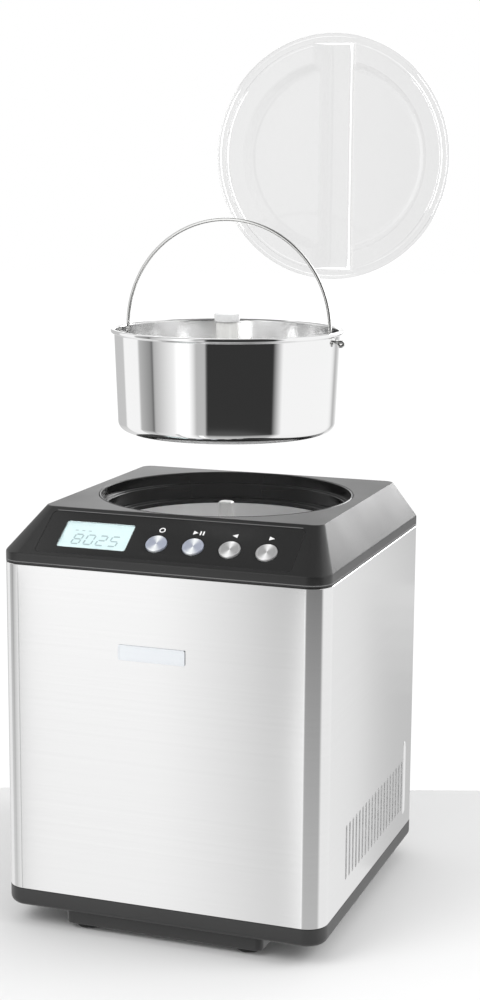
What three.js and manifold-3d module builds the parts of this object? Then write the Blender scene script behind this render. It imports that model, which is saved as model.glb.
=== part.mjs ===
// Counter-top ice cream maker with a built-in compressor, a lift-out steel bowl and a clear lid.
// Millimetres. +X is right, +Y is back, +Z is up. The origin is the centre of the base pan's underside.
// At rest the bowl hangs by its bail above the well and the lid is held up behind it.

import * as THREE from 'three';
import { mergeVertices } from 'three/addons/utils/BufferGeometryUtils.js';
import Module from 'manifold-3d';

const wasm = await Module();
wasm.setup();

// ------------------------------------------------------------------ driving dimensions

const gap = 0.3; // left between two pieces that touch
const through = 2; // how far a cutter runs past the face it cuts

// Bowl
const bowlRimRadius = 101.5;
const bowlHeight = 89.5;
const rimOverhang = 2.9; // of the rolled rim, beyond the wall
const bowlTaper = 3.6; // how much wider the wall is under the rim than at the foot
const bowlFootRound = 9;
const bowlWall = 1.2;
const rimThickness = 4;
const tubeClearance = 1; // around the drive shaft, inside the bowl's middle tube
const tubeHeight = 69;
const bowlLift = 165; // how high the bowl hangs above its seat at rest

// Bail
const wireRadius = 1.5;
const bailPivotDrop = 8.5; // below the top of the rim
const bailInset = 3.5; // from the bowl's inner wall to the middle of the wire
const bailHeadRadius = 3.5;
const bailHeadLength = 3.5;
const bailHoleClearance = 0.8;
const bailBend = 3.2; // radius of the wire's turn out to its pivot
const bailSpacing = 3.6; // between the wire's sections

// Dasher
const hubRise = 13.5; // top of the cap above the rim
const hubWall = 2.5; // around the shaft's socket
const capWall = 1.4;
const sleeveWall = 3;
const bladeThickness = 4;
const bladeClearance = 2.8; // from the bowl's inside
const bladeHeight = 62;
const bladeBar = 11;

// Well, collar and deck
const bowlSeatGap = 1.5; // under the seated bowl
const collarBoreClearance = 1.2; // between the bowl's wall and the collar
const rimRecess = 4.5; // free width around the rim
const lidLedge = 4.5; // width of the step that carries the lid
const lidLedgeRise = 13.2; // from the bowl's ledge up to the lid's ledge
const lidRecess = 10; // depth of the lid's step below the deck
const collarWall = 1.5;
const collarDrop = 4; // thickness of the bowl's ledge
const deckMarginSide = 13.2; // narrowest width of deck beside the well
const deckMarginFront = 2.75;
const deckMarginBack = 2.75;

// Top cover
const slopeRunFront = 48.5;
const slopeRunSide = 19.3;
const slopeRunBack = 18;
const coverRise = 32.4;
const coverBand = 9.1;
const coverWall = 4;
const cornerRadius = 18;
const deckCornerRadius = 9;
const lipHeight = 6; // the cover's and base pan's lips inside the wrap
const lipWall = 2;
const lipClearance = 0.4;

// Body wrap and rear panel
const sheet = 1;
const rearBendRadius = 12;
const rearFlange = 24; // width of the wrap's return at the back
const rearWindowMargin = 12;
const rearOverlap = 9; // of the rear panel behind the flange
const screwRadius = 1.6;
const screwHeadRadius = 3.8;
const screwHeadHeight = 1.8;
const ventCount = 19;
const ventPitch = 10;
const ventWidth = 4;
const ventHeight = 48;
const ventBottom = 20; // above the top of the base band
const ventCentreY = 12;
const rearVentRows = 9;
const rearVentPitch = 12;
const rearVentLength = 120;
const rearVentWidth = 4.5;

// Base pan and feet
const plinthHeight = 12.5;
const plinthInset = 8;
const plinthHalfWidth = 89;
const baseBand = 16.1;
const baseWall = 2.5;
const baseFloor = 3;
const grooveRadius = 24; // of the ring moulded into the underside, at its middle
const grooveWidth = 2;
const grooveDepth = 0.8;
const footHeight = 5;
const footRadius = 11;
const footPegRadius = 4;
const footPegHeight = 7;
const footInset = 16;

// Machine room
const machineRoomHeight = 201.4; // from the top of the base band up to the shelf's top face
const shelfThickness = 1.5;
const insulationFloor = 12.5;
const insulationWall = 8;
const insulationTopDrop = 9.5; // below the drum's top
const drumWall = 2;
const drumFloor = 2.5;
const drumBore = 1; // clearance around the bowl
const coilTubeRadius = 3.5;
const coilTurns = 4;
const coilPitch = 16;
const coilGap = 2.5;
const coilFacets = 18; // sections in each turn
const coilStart = Math.PI / 3;
const pipePortRadius = 6;

// Drive
const shaftRadius = 7;
const driveChamfer = 3; // of the corners of the shaft's square end
const socketClearance = 0.4;
const bushWall = 3;
const gearModule = 1.9;
const gearTeeth = 32;
const pinionTeeth = 10;
const gearThickness = 10;
const gearBacklash = 0.3;
const pinionDirection = THREE.MathUtils.degToRad(-60);
const motorShaftRadius = 4;
const motorRadius = 26;
const motorLength = 62;
const gearboxHeight = 30;
const gearboxWall = 2.5;
const gearboxMargin = 5; // around the gears, inside the housing

// Refrigeration
const compressorRadius = 50;
const compressorHeight = 128;
const compressorSideGap = 2.5; // to the plinth's inner side
const compressorBackGap = 28; // behind it, for its terminal cover
const bracketThickness = 3;
const grommetHeight = 14;
const grommetRadius = 8;
const condenserThickness = 22;
const condenserLength = 150;
const condenserHeight = 128;
const finGrooves = 14;
const finGrooveWidth = 4;
const finGrooveDepth = 5;
const finMargin = 7; // from the block's ends to the first and last groove
const condenserWallGap = 26; // to the right side of the wrap
const fanRadius = 50;
const fanBlades = 5;
const fanDepth = 14;
const dryerRadius = 9;
const dryerLength = 70;
const pipeRadius = 3.2;
const capillaryRadius = 1.6;
const pipeSpacing = 7; // between a pipe's sections
const pipeEndGap = 1; // left where a pipe is brazed on

// Controls, placed on the front slope: x along it, v up it from the top of the band
const fasciaWidth = 224;
const fasciaBottom = 4;
const fasciaTopMargin = 5.3; // from the panel's top edge to the deck
const fasciaThickness = 1.8;
const fasciaLedge = 3.5;
const windowWidth = 61;
const windowMargin = 9.5; // above and below the window, inside the panel
const windowX = -64.4;
const windowDrop = 1; // of the display's middle, below the panel's middle
const buttonRadius = 9;
const buttonClearance = 0.35;
const buttonProud = 1.6;
const buttonTravel = 1.2;
const buttonFlange = 1.4;
const buttonStem = 9;
const buttonStemRadius = 2.5;
const buttonEdge = 0.8; // chamfer around the face
const buttonSpots = [['power', -8.8], ['start_pause', 23.3], ['left', 55], ['right', 86.5]];
const buttonDrop = 5.5; // of the buttons' row, below the panel's middle
const boardThickness = 1.6;
const switchSize = 6;
const switchHeight = 2;
const boardWidth = 206;
const boardMargin = 4; // above and below the board, inside the panel's pocket
const badgeSize = [59, 13];
const badgeSpot = [-5.5, 247];
const badgeThickness = 0.8;

// Lid
const lidClearance = 2; // around the lid in its step
const lidSheet = 2;
const lidLip = 6; // height of the rim around the flange
const plateauRadius = 80;
const plateauRise = 10;
const gripBase = 42;
const gripTop = 22;
const gripRise = 15; // above the plateau
const lidSpot = [62, 118, 648]; // centre of the flange, held up behind the bowl

// Cord gland at the back
const glandRadius = 9;
const glandBore = 3.7;
const glandSpot = [84, 52];

// ------------------------------------------------------------------ derived dimensions

const rimSpace = bowlRimRadius + rimRecess;
const wellRadius = rimSpace + lidLedge;
const collarRadius = wellRadius + collarWall;
const bodyWidth = 2 * (wellRadius + deckMarginSide + slopeRunSide);
const bodyDepth = 2 * wellRadius + deckMarginFront + deckMarginBack + slopeRunFront + slopeRunBack;
const frontY = -bodyDepth / 2;
const backY = bodyDepth / 2;
const sideX = bodyWidth / 2;
const wellY = frontY + slopeRunFront + deckMarginFront + wellRadius;

const baseTop = plinthHeight + baseBand;
const shelfTop = baseTop + machineRoomHeight;
const drumBottom = shelfTop + insulationFloor + gap;
const bowlSeat = drumBottom + drumFloor + bowlSeatGap;
const bowlLedge = bowlSeat + bowlHeight - rimThickness - gap;
const lidLedgeTop = bowlLedge + lidLedgeRise;
const deckTop = lidLedgeTop + lidRecess;
const bandTop = deckTop - coverRise;
const wrapTop = bandTop - coverBand;
const slopeAngle = Math.atan2(coverRise, slopeRunFront);

const bowlTopRadius = bowlRimRadius - rimOverhang;
const bowlFootRadius = bowlTopRadius - bowlTaper;
const collarBore = bowlTopRadius + collarBoreClearance;
const collarBottom = bowlLedge - collarDrop;
const drumTop = collarBottom - gap;
const drumInner = bowlTopRadius + drumBore;
const drumOuter = drumInner + drumWall;
const coilRadius = drumOuter + coilGap + coilTubeRadius;
const capillaryCircle = coilRadius + coilTubeRadius + capillaryRadius + 1;
const insulationInner = capillaryCircle + capillaryRadius + 1.5;
const insulationOuter = insulationInner + insulationWall;
const insulationBore = shaftRadius + bushWall + 6;

const pivotHeight = bowlHeight - bailPivotDrop;
const wallAtPivot = bowlFootRadius + (bowlTaper * pivotHeight) / bowlHeight;
const bailRadius = wallAtPivot - bowlWall - bailInset;
const bailHeadStart = wallAtPivot + 0.7;
const notchReach = bailHeadStart + bailHeadLength + 1.5;

const hubTop = bowlHeight + hubRise;
const capRoof = 1.7;
const shaftTop = bowlSeat + hubTop - capRoof - 0.4;
const tubeBore = shaftRadius + tubeClearance;
const tubeRadius = tubeBore + bowlWall;
const sleeveBore = tubeRadius + 0.6;
const hubRadius = shaftRadius + hubWall;
const capRadius = hubRadius + gap + capWall;
const driveAcross = driveChamfer + Math.sqrt(2 * shaftRadius ** 2 - driveChamfer ** 2);

const gearPitchRadius = (gearModule * gearTeeth) / 2;
const pinionPitchRadius = (gearModule * pinionTeeth) / 2;
const gearDistance = gearPitchRadius + pinionPitchRadius;
const pinionX = gearDistance * Math.cos(pinionDirection);
const pinionY = wellY + gearDistance * Math.sin(pinionDirection);
const gearboxTop = shelfTop - shelfThickness - gap;
const gearboxCoverBottom = gearboxTop - gearboxWall;
const gearboxFloor = gearboxTop - gearboxHeight;
const gearBottom = gearboxFloor + gearboxWall + 4;
const motorTop = gearboxFloor - gap;

const condenserX = sideX - sheet - condenserWallGap - condenserThickness / 2;
const fanX = condenserX - condenserThickness / 2 - fanDepth / 2 - 4;
const fanSpot = [wellY, baseTop + condenserHeight / 2 - 4];
const boardDepth = buttonStem + buttonTravel + 0.5 + switchHeight;
const fasciaLength = Math.hypot(slopeRunFront, coverRise) - fasciaBottom - fasciaTopMargin;
const fasciaMiddle = fasciaBottom + fasciaLength / 2;
const windowSpot = [windowX, fasciaMiddle - windowDrop];
const windowSize = [windowWidth, fasciaLength - 2 * windowMargin];
const buttonRow = fasciaMiddle - buttonDrop;
const boardHeight = fasciaLength - 2 * (fasciaLedge + boardMargin);
const lidRadius = wellRadius - lidClearance;
const compressorSpot = [
  -plinthHalfWidth + baseWall + compressorRadius + compressorSideGap,
  backY - plinthInset - baseWall - compressorRadius - compressorBackGap,
];

// ------------------------------------------------------------------ helpers

const object = new THREE.Group();

function material(colour, roughness, metalness, opacity = 1) {
  return new THREE.MeshStandardMaterial({
    color: colour, roughness, metalness, opacity, transparent: opacity < 1,
  });
}

const finishes = {
  steel: () => material('#d4d5d6', 0.3, 1),
  polished: () => material('#dcdddf', 0.08, 1),
  black: () => material('#202022', 0.35, 0),
  charcoal: () => material('#3a3b3d', 0.5, 0),
  rubber: () => material('#161616', 0.85, 0),
  aluminium: () => material('#b9babc', 0.4, 1),
  copper: () => material('#b5703f', 0.35, 1),
  foam: () => material('#e6dfc9', 0.9, 0),
  galvanised: () => material('#9a9da0', 0.45, 1),
  nylon: () => material('#e9e9e6', 0.5, 0),
  frosted: () => material('#f4f6f7', 0.3, 0, 0.75),
  clear: () => material('#f2f6f8', 0.05, 0, 0.25),
  display: () => material('#c9e6ea', 0.3, 0),
  board: () => material('#2f5d3a', 0.6, 0),
  motor: () => material('#7d8084', 0.4, 0.9),
  enamel: () => material('#1b1c1e', 0.4, 0.1),
  badge: () => material('#e4e8ea', 0.35, 0.6),
};

// Names a mesh, gives it its finish and places it in a group.
function piece(name, finish, geometry, parent = object) {
  const mesh = new THREE.Mesh(geometry, finishes[finish]());
  mesh.name = name;
  parent.add(mesh);
  return mesh;
}

// A group set down at a point, for pieces described about their own origin.
function groupAt(x, y, z, parent = object) {
  const group = new THREE.Group();
  group.position.set(x, y, z);
  parent.add(group);
  return group;
}

// Merges shared corners and drops the slivers that merging leaves at a lathe's axis.
function weld(geometry) {
  const bare = geometry.clone();
  bare.deleteAttribute('normal');
  bare.deleteAttribute('uv');
  const merged = mergeVertices(bare, 1e-4);
  const kept = [];
  for (let i = 0; i < merged.index.count; i += 3) {
    const [a, b, c] = [0, 1, 2].map((k) => merged.index.getX(i + k));
    if (a !== b && b !== c && c !== a) kept.push(a, b, c);
  }
  merged.setIndex(kept);
  return merged;
}

function toSolid(geometry) {
  const merged = weld(geometry);
  return new wasm.Manifold(new wasm.Mesh({
    numProp: 3,
    vertProperties: new Float32Array(merged.attributes.position.array),
    triVerts: new Uint32Array(merged.index.array),
  }));
}

function toGeometry(solid) {
  const mesh = solid.getMesh();
  const geometry = new THREE.BufferGeometry();
  geometry.setAttribute('position', new THREE.BufferAttribute(mesh.vertProperties, 3));
  geometry.setIndex(new THREE.BufferAttribute(mesh.triVerts, 1));
  geometry.computeVertexNormals();
  return geometry;
}

function cut(geometry, ...cutters) {
  return toGeometry(cutters.reduce((solid, cutter) => solid.subtract(toSolid(cutter)), toSolid(geometry)));
}

function join(geometry, ...others) {
  return toGeometry(others.reduce((solid, other) => solid.add(toSolid(other)), toSolid(geometry)));
}

function box(low, high) {
  const size = high.map((value, i) => value - low[i]);
  const middle = high.map((value, i) => (value + low[i]) / 2);
  return new THREE.BoxGeometry(...size).translate(...middle);
}

// Points on an arc about (x, y), from one angle to another, in degrees.
function arc(x, y, radius, from, to, steps) {
  return Array.from({ length: steps + 1 }, (_, i) => {
    const angle = THREE.MathUtils.degToRad(from + ((to - from) * i) / steps);
    return [x + radius * Math.cos(angle), y + radius * Math.sin(angle)];
  });
}

function area(points) {
  return points.reduce((sum, [x, y], i) => {
    const [nextX, nextY] = points[(i + 1) % points.length];
    return sum + (x * nextY - nextX * y) / 2;
  }, 0);
}

// Turns a profile of [radius, height] points about Z. A profile that leaves the axis closes on itself.
function turned(profile, segments = 32) {
  const points = area(profile) > 0 ? profile : [...profile].reverse();
  const onAxis = points.some(([radius]) => radius === 0);
  const loop = points.map(([radius, height]) => new THREE.Vector2(radius, height));
  if (!onAxis) loop.push(loop[0].clone());
  if (onAxis) {
    while (!(loop[0].x === 0 && loop[loop.length - 1].x === 0)) loop.push(loop.shift());
  }
  return new THREE.LatheGeometry(loop, segments).rotateX(Math.PI / 2);
}

function disc(radius, bottom, top, segments = 20) {
  return turned([[0, bottom], [radius, bottom], [radius, top], [0, top]], segments);
}

function ring(inner, outer, bottom, top, segments = 32) {
  return turned([[inner, bottom], [outer, bottom], [outer, top], [inner, top]], segments);
}

function outline(points) {
  return new THREE.Shape(points.map(([x, y]) => new THREE.Vector2(x, y)));
}

function prism(points, bottom, top) {
  return new THREE.ExtrudeGeometry(outline(points), { depth: top - bottom, bevelEnabled: false })
    .translate(0, 0, bottom);
}

// A rectangle with round corners: front pair and back pair can differ.
function roundRectangle(left, front, right, back, frontRadius, backRadius = frontRadius, steps = 4) {
  return [
    ...arc(right - frontRadius, front + frontRadius, frontRadius, -90, 0, steps),
    ...arc(right - backRadius, back - backRadius, backRadius, 0, 90, steps),
    ...arc(left + backRadius, back - backRadius, backRadius, 90, 180, steps),
    ...arc(left + frontRadius, front + frontRadius, frontRadius, 180, 270, steps),
  ];
}

// The body's outline, drawn in by an inset.
function bodyOutline(inset) {
  return roundRectangle(
    -sideX + inset, frontY + inset, sideX - inset, backY - inset,
    cornerRadius - inset, Math.max(rearBendRadius - inset, 1),
  );
}

// A closed skin through outlines of equal length, each at its own height.
function loft(sections) {
  const count = sections[0].points.length;
  const positions = sections.flatMap(({ points, height }) => points.flatMap(([x, y]) => [x, y, height]));
  const faces = [];
  for (let level = 0; level + 1 < sections.length; level += 1) {
    for (let i = 0; i < count; i += 1) {
      const a = level * count + i;
      const b = level * count + ((i + 1) % count);
      faces.push(a, b, b + count, a, b + count, a + count);
    }
  }
  const cap = (level) => THREE.ShapeUtils.triangulateShape(
    sections[level].points.map(([x, y]) => new THREE.Vector2(x, y)), [],
  ).map((face) => face.map((i) => level * count + i));
  cap(0).forEach(([a, b, c]) => faces.push(a, c, b));
  cap(sections.length - 1).forEach(([a, b, c]) => faces.push(a, b, c));
  const geometry = new THREE.BufferGeometry();
  geometry.setAttribute('position', new THREE.Float32BufferAttribute(positions, 3));
  geometry.setIndex(faces);
  return geometry;
}

// A round bar along a smooth curve through points, with a section at least every few millimetres.
function bar(points, radius, spacing, sides) {
  const places = points.map((point) => new THREE.Vector3(...point));
  const curve = new THREE.CatmullRomCurve3(places, false, 'centripetal');
  const section = outline(arc(0, 0, radius, 0, 360 - 360 / sides, sides - 1));
  const steps = Math.ceil(curve.getLength() / spacing);
  return new THREE.ExtrudeGeometry(section, { steps, extrudePath: curve });
}

// A disc turned to lie along Y.
function discAlongY(radius, near, far, segments = 16) {
  return disc(radius, near, far, segments).rotateX(-Math.PI / 2);
}

// ------------------------------------------------------------------ base

function basePan() {
  const plinth = prism(
    roundRectangle(-plinthHalfWidth, frontY + plinthInset, plinthHalfWidth, backY - plinthInset, 6),
    0, plinthHeight + 1,
  );
  const plinthHollow = prism(
    roundRectangle(
      -plinthHalfWidth + baseWall, frontY + plinthInset + baseWall,
      plinthHalfWidth - baseWall, backY - plinthInset - baseWall, 4,
    ),
    baseFloor, baseTop,
  );
  const band = prism(bodyOutline(0), plinthHeight, baseTop);
  const lip = prism(bodyOutline(sheet + lipClearance), plinthHeight + 1, baseTop + lipHeight);
  const hollow = prism(
    bodyOutline(sheet + lipClearance + lipWall), plinthHeight + baseWall, baseTop + lipHeight + through,
  );
  const pegHoles = footSpots().map(([, x, y]) => disc(footPegRadius + gap, -through, baseFloor + through, 16)
    .translate(x, y, 0));
  const groove = ring(grooveRadius, grooveRadius + grooveWidth, -through, grooveDepth);
  return cut(join(plinth, band, lip), hollow, plinthHollow, groove, ...pegHoles);
}

function footSpots() {
  const x = plinthHalfWidth - footInset;
  const y = backY - plinthInset - footInset;
  return [['front_left', -x, -y], ['front_right', x, -y], ['rear_left', -x, y], ['rear_right', x, y]];
}

function foot() {
  return turned([
    [0, -footHeight], [footRadius - 1.5, -footHeight], [footRadius, -footHeight + 1.5], [footRadius, -gap],
    [footPegRadius, -gap], [footPegRadius, footPegHeight - 1], [footPegRadius - 1, footPegHeight],
    [0, footPegHeight],
  ], 16);
}

piece('base_pan', 'charcoal', basePan());
for (const [name, x, y] of footSpots()) {
  piece(`foot_${name}`, 'rubber', foot(), groupAt(x, y, 0));
}

// ------------------------------------------------------------------ body wrap and rear panel

const wrapBottom = baseTop + gap;
const rearWindowX = sideX - rearFlange;
const rearWindowBottom = wrapBottom + rearWindowMargin;
const rearWindowTop = wrapTop - rearWindowMargin;
const rearPanelFront = backY - sheet - gap - 1.2;

function screwSpots() {
  const x = rearWindowX + rearOverlap / 2 - 0.5;
  const inset = 14;
  return [
    ['lower_left', -x, rearWindowBottom + inset], ['lower_right', x, rearWindowBottom + inset],
    ['upper_left', -x, rearWindowTop - inset], ['upper_right', x, rearWindowTop - inset],
  ];
}

function screwHoles() {
  return screwSpots().map(([, x, z]) => discAlongY(screwRadius + gap, -10, 10).translate(x, backY, z));
}

function sideVents() {
  const low = wrapBottom + ventBottom;
  return Array.from({ length: ventCount }, (_, i) => {
    const y = ventCentreY + (i - (ventCount - 1) / 2) * ventPitch;
    return box(
      [-sideX - through, y - ventWidth / 2, low], [sideX + through, y + ventWidth / 2, low + ventHeight],
    );
  });
}

function bodyWrap() {
  const skin = prism(bodyOutline(0), wrapBottom, wrapTop - gap);
  const inside = prism(bodyOutline(sheet), wrapBottom - through, wrapTop + through);
  const rearWindow = box(
    [-rearWindowX, backY - rearBendRadius, rearWindowBottom], [rearWindowX, backY + through, rearWindowTop],
  );
  return cut(skin, inside, rearWindow, ...sideVents(), ...screwHoles());
}

function rearPanel() {
  const x = rearWindowX + rearOverlap;
  const plate = box(
    [-x, rearPanelFront, rearWindowBottom - 3], [x, rearPanelFront + 1.2, rearWindowTop + 3],
  );
  const slots = Array.from({ length: rearVentRows }, (_, i) => {
    const z = baseTop + 92 + i * rearVentPitch;
    return box(
      [-rearVentLength / 2, rearPanelFront - through, z],
      [rearVentLength / 2, backY, z + rearVentWidth],
    );
  });
  const glandHole = discAlongY(glandRadius + gap, -through * 3, through * 3, 24)
    .translate(glandSpot[0], rearPanelFront, baseTop + glandSpot[1]);
  return cut(plate, ...slots, ...screwHoles(), glandHole);
}

function screw() {
  return turned([
    [0, 0], [screwHeadRadius, 0], [screwHeadRadius, screwHeadHeight * 0.5],
    [screwHeadRadius * 0.6, screwHeadHeight], [0, screwHeadHeight],
  ], 16);
}

function rearScrew() {
  const shank = disc(screwRadius, -6, 0.5, 12);
  return join(screw(), shank).rotateX(-Math.PI / 2);
}

function cordGland() {
  const flange = 3;
  return turned([
    [glandBore, -6], [glandRadius, -6], [glandRadius, 1.2 + gap], [glandRadius + flange, 1.2 + gap],
    [glandRadius + flange, 4], [glandRadius - 1, 5], [glandRadius - 2.6, 9], [glandBore, 9],
  ], 18).rotateX(-Math.PI / 2);
}

piece('body_wrap', 'steel', bodyWrap());
piece('rear_panel', 'galvanised', rearPanel());
for (const [name, x, z] of screwSpots()) {
  piece(`rear_screw_${name}`, 'steel', rearScrew(), groupAt(x, backY + gap, z));
}
piece('cord_gland', 'rubber', cordGland(), groupAt(glandSpot[0], rearPanelFront, baseTop + glandSpot[1]));
piece('front_badge', 'badge', box(
  [badgeSpot[0] - badgeSize[0] / 2, frontY - gap - badgeThickness, badgeSpot[1] - badgeSize[1] / 2],
  [badgeSpot[0] + badgeSize[0] / 2, frontY - gap, badgeSpot[1] + badgeSize[1] / 2],
));

// ------------------------------------------------------------------ top cover and collar

// The front slope's own frame: x along it, y up it, z out of it.
const slopeMatrix = new THREE.Matrix4()
  .makeTranslation(0, frontY, bandTop)
  .multiply(new THREE.Matrix4().makeRotationX(slopeAngle));

function deckOutline(inset) {
  return roundRectangle(
    -sideX + slopeRunSide + inset, frontY + slopeRunFront + inset,
    sideX - slopeRunSide - inset, backY - slopeRunBack - inset,
    deckCornerRadius, deckCornerRadius,
  );
}

function bailNotch(side) {
  const low = bowlSeat + pivotHeight - bailHeadRadius - 2;
  return box(
    side > 0 ? [collarBore - 6, wellY - 7, low] : [-notchReach, wellY - 7, low],
    side > 0 ? [notchReach, wellY + 7, bowlLedge + 1] : [6 - collarBore, wellY + 7, bowlLedge + 1],
  );
}

function topCover() {
  const outer = loft([
    { points: bodyOutline(0), height: wrapTop },
    { points: bodyOutline(0), height: bandTop },
    { points: deckOutline(0), height: deckTop },
  ]);
  const inner = loft([
    { points: bodyOutline(coverWall), height: wrapTop - lipHeight - through },
    { points: bodyOutline(coverWall), height: bandTop - coverWall * Math.tan(slopeAngle / 2) },
    { points: deckOutline(coverWall * Math.tan(slopeAngle / 2)), height: deckTop - coverWall },
  ]);
  const lip = prism(bodyOutline(sheet + lipClearance), wrapTop - lipHeight, wrapTop + 1);
  const lipInside = prism(
    bodyOutline(sheet + lipClearance + lipWall), wrapTop - lipHeight - through, wrapTop + 2,
  );
  const opening = disc(collarRadius + gap, deckTop - coverWall - 3 * through, deckTop + through, 40)
    .translate(0, wellY, 0);
  const recess = fasciaPlate(gap, fasciaThickness + gap, through);
  const pocket = box(
    [-fasciaWidth / 2 + fasciaLedge, fasciaBottom + fasciaLedge, -3 * coverWall],
    [fasciaWidth / 2 - fasciaLedge, fasciaBottom + fasciaLength - fasciaLedge, through],
  );
  return cut(
    join(outer, lip), inner, lipInside, opening,
    recess.applyMatrix4(slopeMatrix), pocket.applyMatrix4(slopeMatrix),
  );
}

function wellCollar() {
  const body = turned([
    [collarBore, collarBottom], [collarRadius, collarBottom], [collarRadius, deckTop],
    [wellRadius, deckTop], [wellRadius, lidLedgeTop], [rimSpace, lidLedgeTop], [rimSpace, bowlLedge],
    [collarBore, bowlLedge],
  ], 40).translate(0, wellY, 0);
  return cut(body, bailNotch(1), bailNotch(-1));
}

piece('top_cover', 'black', topCover());
piece('well_collar', 'black', wellCollar());

// ------------------------------------------------------------------ controls on the slope

const slope = groupAt(0, frontY, bandTop);
slope.rotation.x = slopeAngle;

// The control panel's outline as a plate, grown by a margin and running from -depth to height.
function fasciaPlate(grow, depth, height) {
  return prism(
    roundRectangle(
      -fasciaWidth / 2 - grow, fasciaBottom - grow, fasciaWidth / 2 + grow,
      fasciaBottom + fasciaLength + grow, 4 + grow,
    ),
    -depth, height,
  );
}

function windowBox(grow, low, high) {
  return box(
    [windowSpot[0] - windowSize[0] / 2 - grow, windowSpot[1] - windowSize[1] / 2 - grow, low],
    [windowSpot[0] + windowSize[0] / 2 + grow, windowSpot[1] + windowSize[1] / 2 + grow, high],
  );
}

function controlFascia() {
  const holes = buttonSpots.map(([, x]) => disc(buttonRadius + buttonClearance, -5, 5, 20)
    .translate(x, buttonRow, 0));
  return cut(fasciaPlate(0, fasciaThickness, 0), windowBox(gap, -5, 5), ...holes);
}

function button() {
  const flangeTop = -fasciaThickness - 0.4;
  const flangeRadius = buttonRadius + 1.6;
  return turned([
    [0, -buttonStem], [buttonStemRadius, -buttonStem], [buttonStemRadius, flangeTop - buttonFlange],
    [flangeRadius, flangeTop - buttonFlange], [flangeRadius, flangeTop], [buttonRadius, flangeTop],
    [buttonRadius, buttonProud - buttonEdge], [buttonRadius - buttonEdge, buttonProud], [0, buttonProud],
  ], 16);
}

function controlBoard() {
  const v = fasciaMiddle - boardHeight / 2 - 2;
  const board = box(
    [-boardWidth / 2, v, -boardDepth - boardThickness], [boardWidth / 2, v + boardHeight, -boardDepth],
  );
  const switches = buttonSpots.map(([, x]) => box(
    [x - switchSize / 2, buttonRow - switchSize / 2, -boardDepth - 0.5],
    [x + switchSize / 2, buttonRow + switchSize / 2, -boardDepth + switchHeight],
  ));
  return join(board, ...switches);
}

piece('control_fascia', 'black', controlFascia(), slope);
piece('display_window', 'clear', windowBox(0, -fasciaThickness, 0), slope);
piece('lcd_module', 'display', windowBox(2, -fasciaThickness - gap - 5, -fasciaThickness - gap), slope);
piece('control_board', 'board', controlBoard(), slope);
for (const [name, x] of buttonSpots) {
  const spot = groupAt(x, buttonRow, 0, slope);
  piece(`button_${name}`, 'steel', button(), spot);
}

// ------------------------------------------------------------------ well: drum, coil, insulation, shelf

const well = groupAt(0, wellY, 0);

function evaporatorDrum() {
  const cup = turned([
    [shaftRadius + bushWall + gap, drumBottom], [drumOuter, drumBottom], [drumOuter, drumTop],
    [drumInner, drumTop], [drumInner, drumBottom + drumFloor],
    [shaftRadius + bushWall + gap, drumBottom + drumFloor],
  ]);
  const notches = [1, -1].map((side) => bailNotch(side).translate(0, -wellY, 0));
  return cut(cup, ...notches);
}

function evaporatorCoil() {
  const low = drumBottom + coilTubeRadius + 2;
  const samples = coilTurns * coilFacets;
  const points = Array.from({ length: samples + 1 }, (_, i) => {
    const turn = i / coilFacets;
    const angle = coilStart + turn * 2 * Math.PI;
    return [coilRadius * Math.cos(angle), coilRadius * Math.sin(angle), low + turn * coilPitch];
  });
  return bar(points, coilTubeRadius, (2 * Math.PI * coilRadius) / coilFacets, 6);
}

const portSpots = [
  [0, capillaryCircle],
  [coilRadius * Math.cos(coilStart), coilRadius * Math.sin(coilStart)],
];

function portHoles(bottom, top) {
  return portSpots.map(([x, y]) => disc(pipePortRadius, bottom, top, 16).translate(x, y, 0));
}

function drumInsulation() {
  const top = drumTop - insulationTopDrop;
  const bottom = shelfTop + gap;
  const cup = turned([
    [insulationBore, bottom], [insulationOuter, bottom], [insulationOuter, top],
    [insulationInner, top], [insulationInner, drumBottom - gap], [insulationBore, drumBottom - gap],
  ], 24);
  return cut(cup, ...portHoles(bottom - through, drumBottom + through));
}

function midShelf() {
  const margin = sheet + 1;
  const plate = prism(
    roundRectangle(
      -sideX + margin, frontY + margin, sideX - margin, rearPanelFront - 2,
      cornerRadius - margin, rearBendRadius,
    ),
    shelfTop - shelfThickness, shelfTop,
  );
  const [low, high] = [shelfTop - 2 * through, shelfTop + through];
  const bushHole = disc(shaftRadius + bushWall + 2, low, high, 32).translate(0, wellY, 0);
  const ports = portHoles(low, high).map((hole) => hole.translate(0, wellY, 0));
  return cut(plate, bushHole, ...ports);
}

piece('evaporator_drum', 'aluminium', evaporatorDrum(), well);
piece('evaporator_coil', 'copper', evaporatorCoil(), well);
piece('drum_insulation', 'foam', drumInsulation(), well);
piece('mid_shelf', 'galvanised', midShelf());

// ------------------------------------------------------------------ drive

function octagon(across, chamfer) {
  const half = across / 2;
  const flat = half - chamfer;
  return [
    [half, -flat], [half, flat], [flat, half], [-flat, half],
    [-half, flat], [-half, -flat], [-flat, -half], [flat, -half],
  ];
}

function driveShaft() {
  const shoulder = bowlSeat + 10;
  const round = disc(shaftRadius, gearBottom - 3, shoulder, 32);
  const square = loft([
    { points: octagon(driveAcross, driveChamfer), height: shoulder - 1 },
    { points: octagon(driveAcross, driveChamfer), height: shaftTop - 1 },
    { points: octagon(driveAcross - 1.6, driveChamfer - 0.2), height: shaftTop },
  ]);
  return join(round, square);
}

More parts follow.
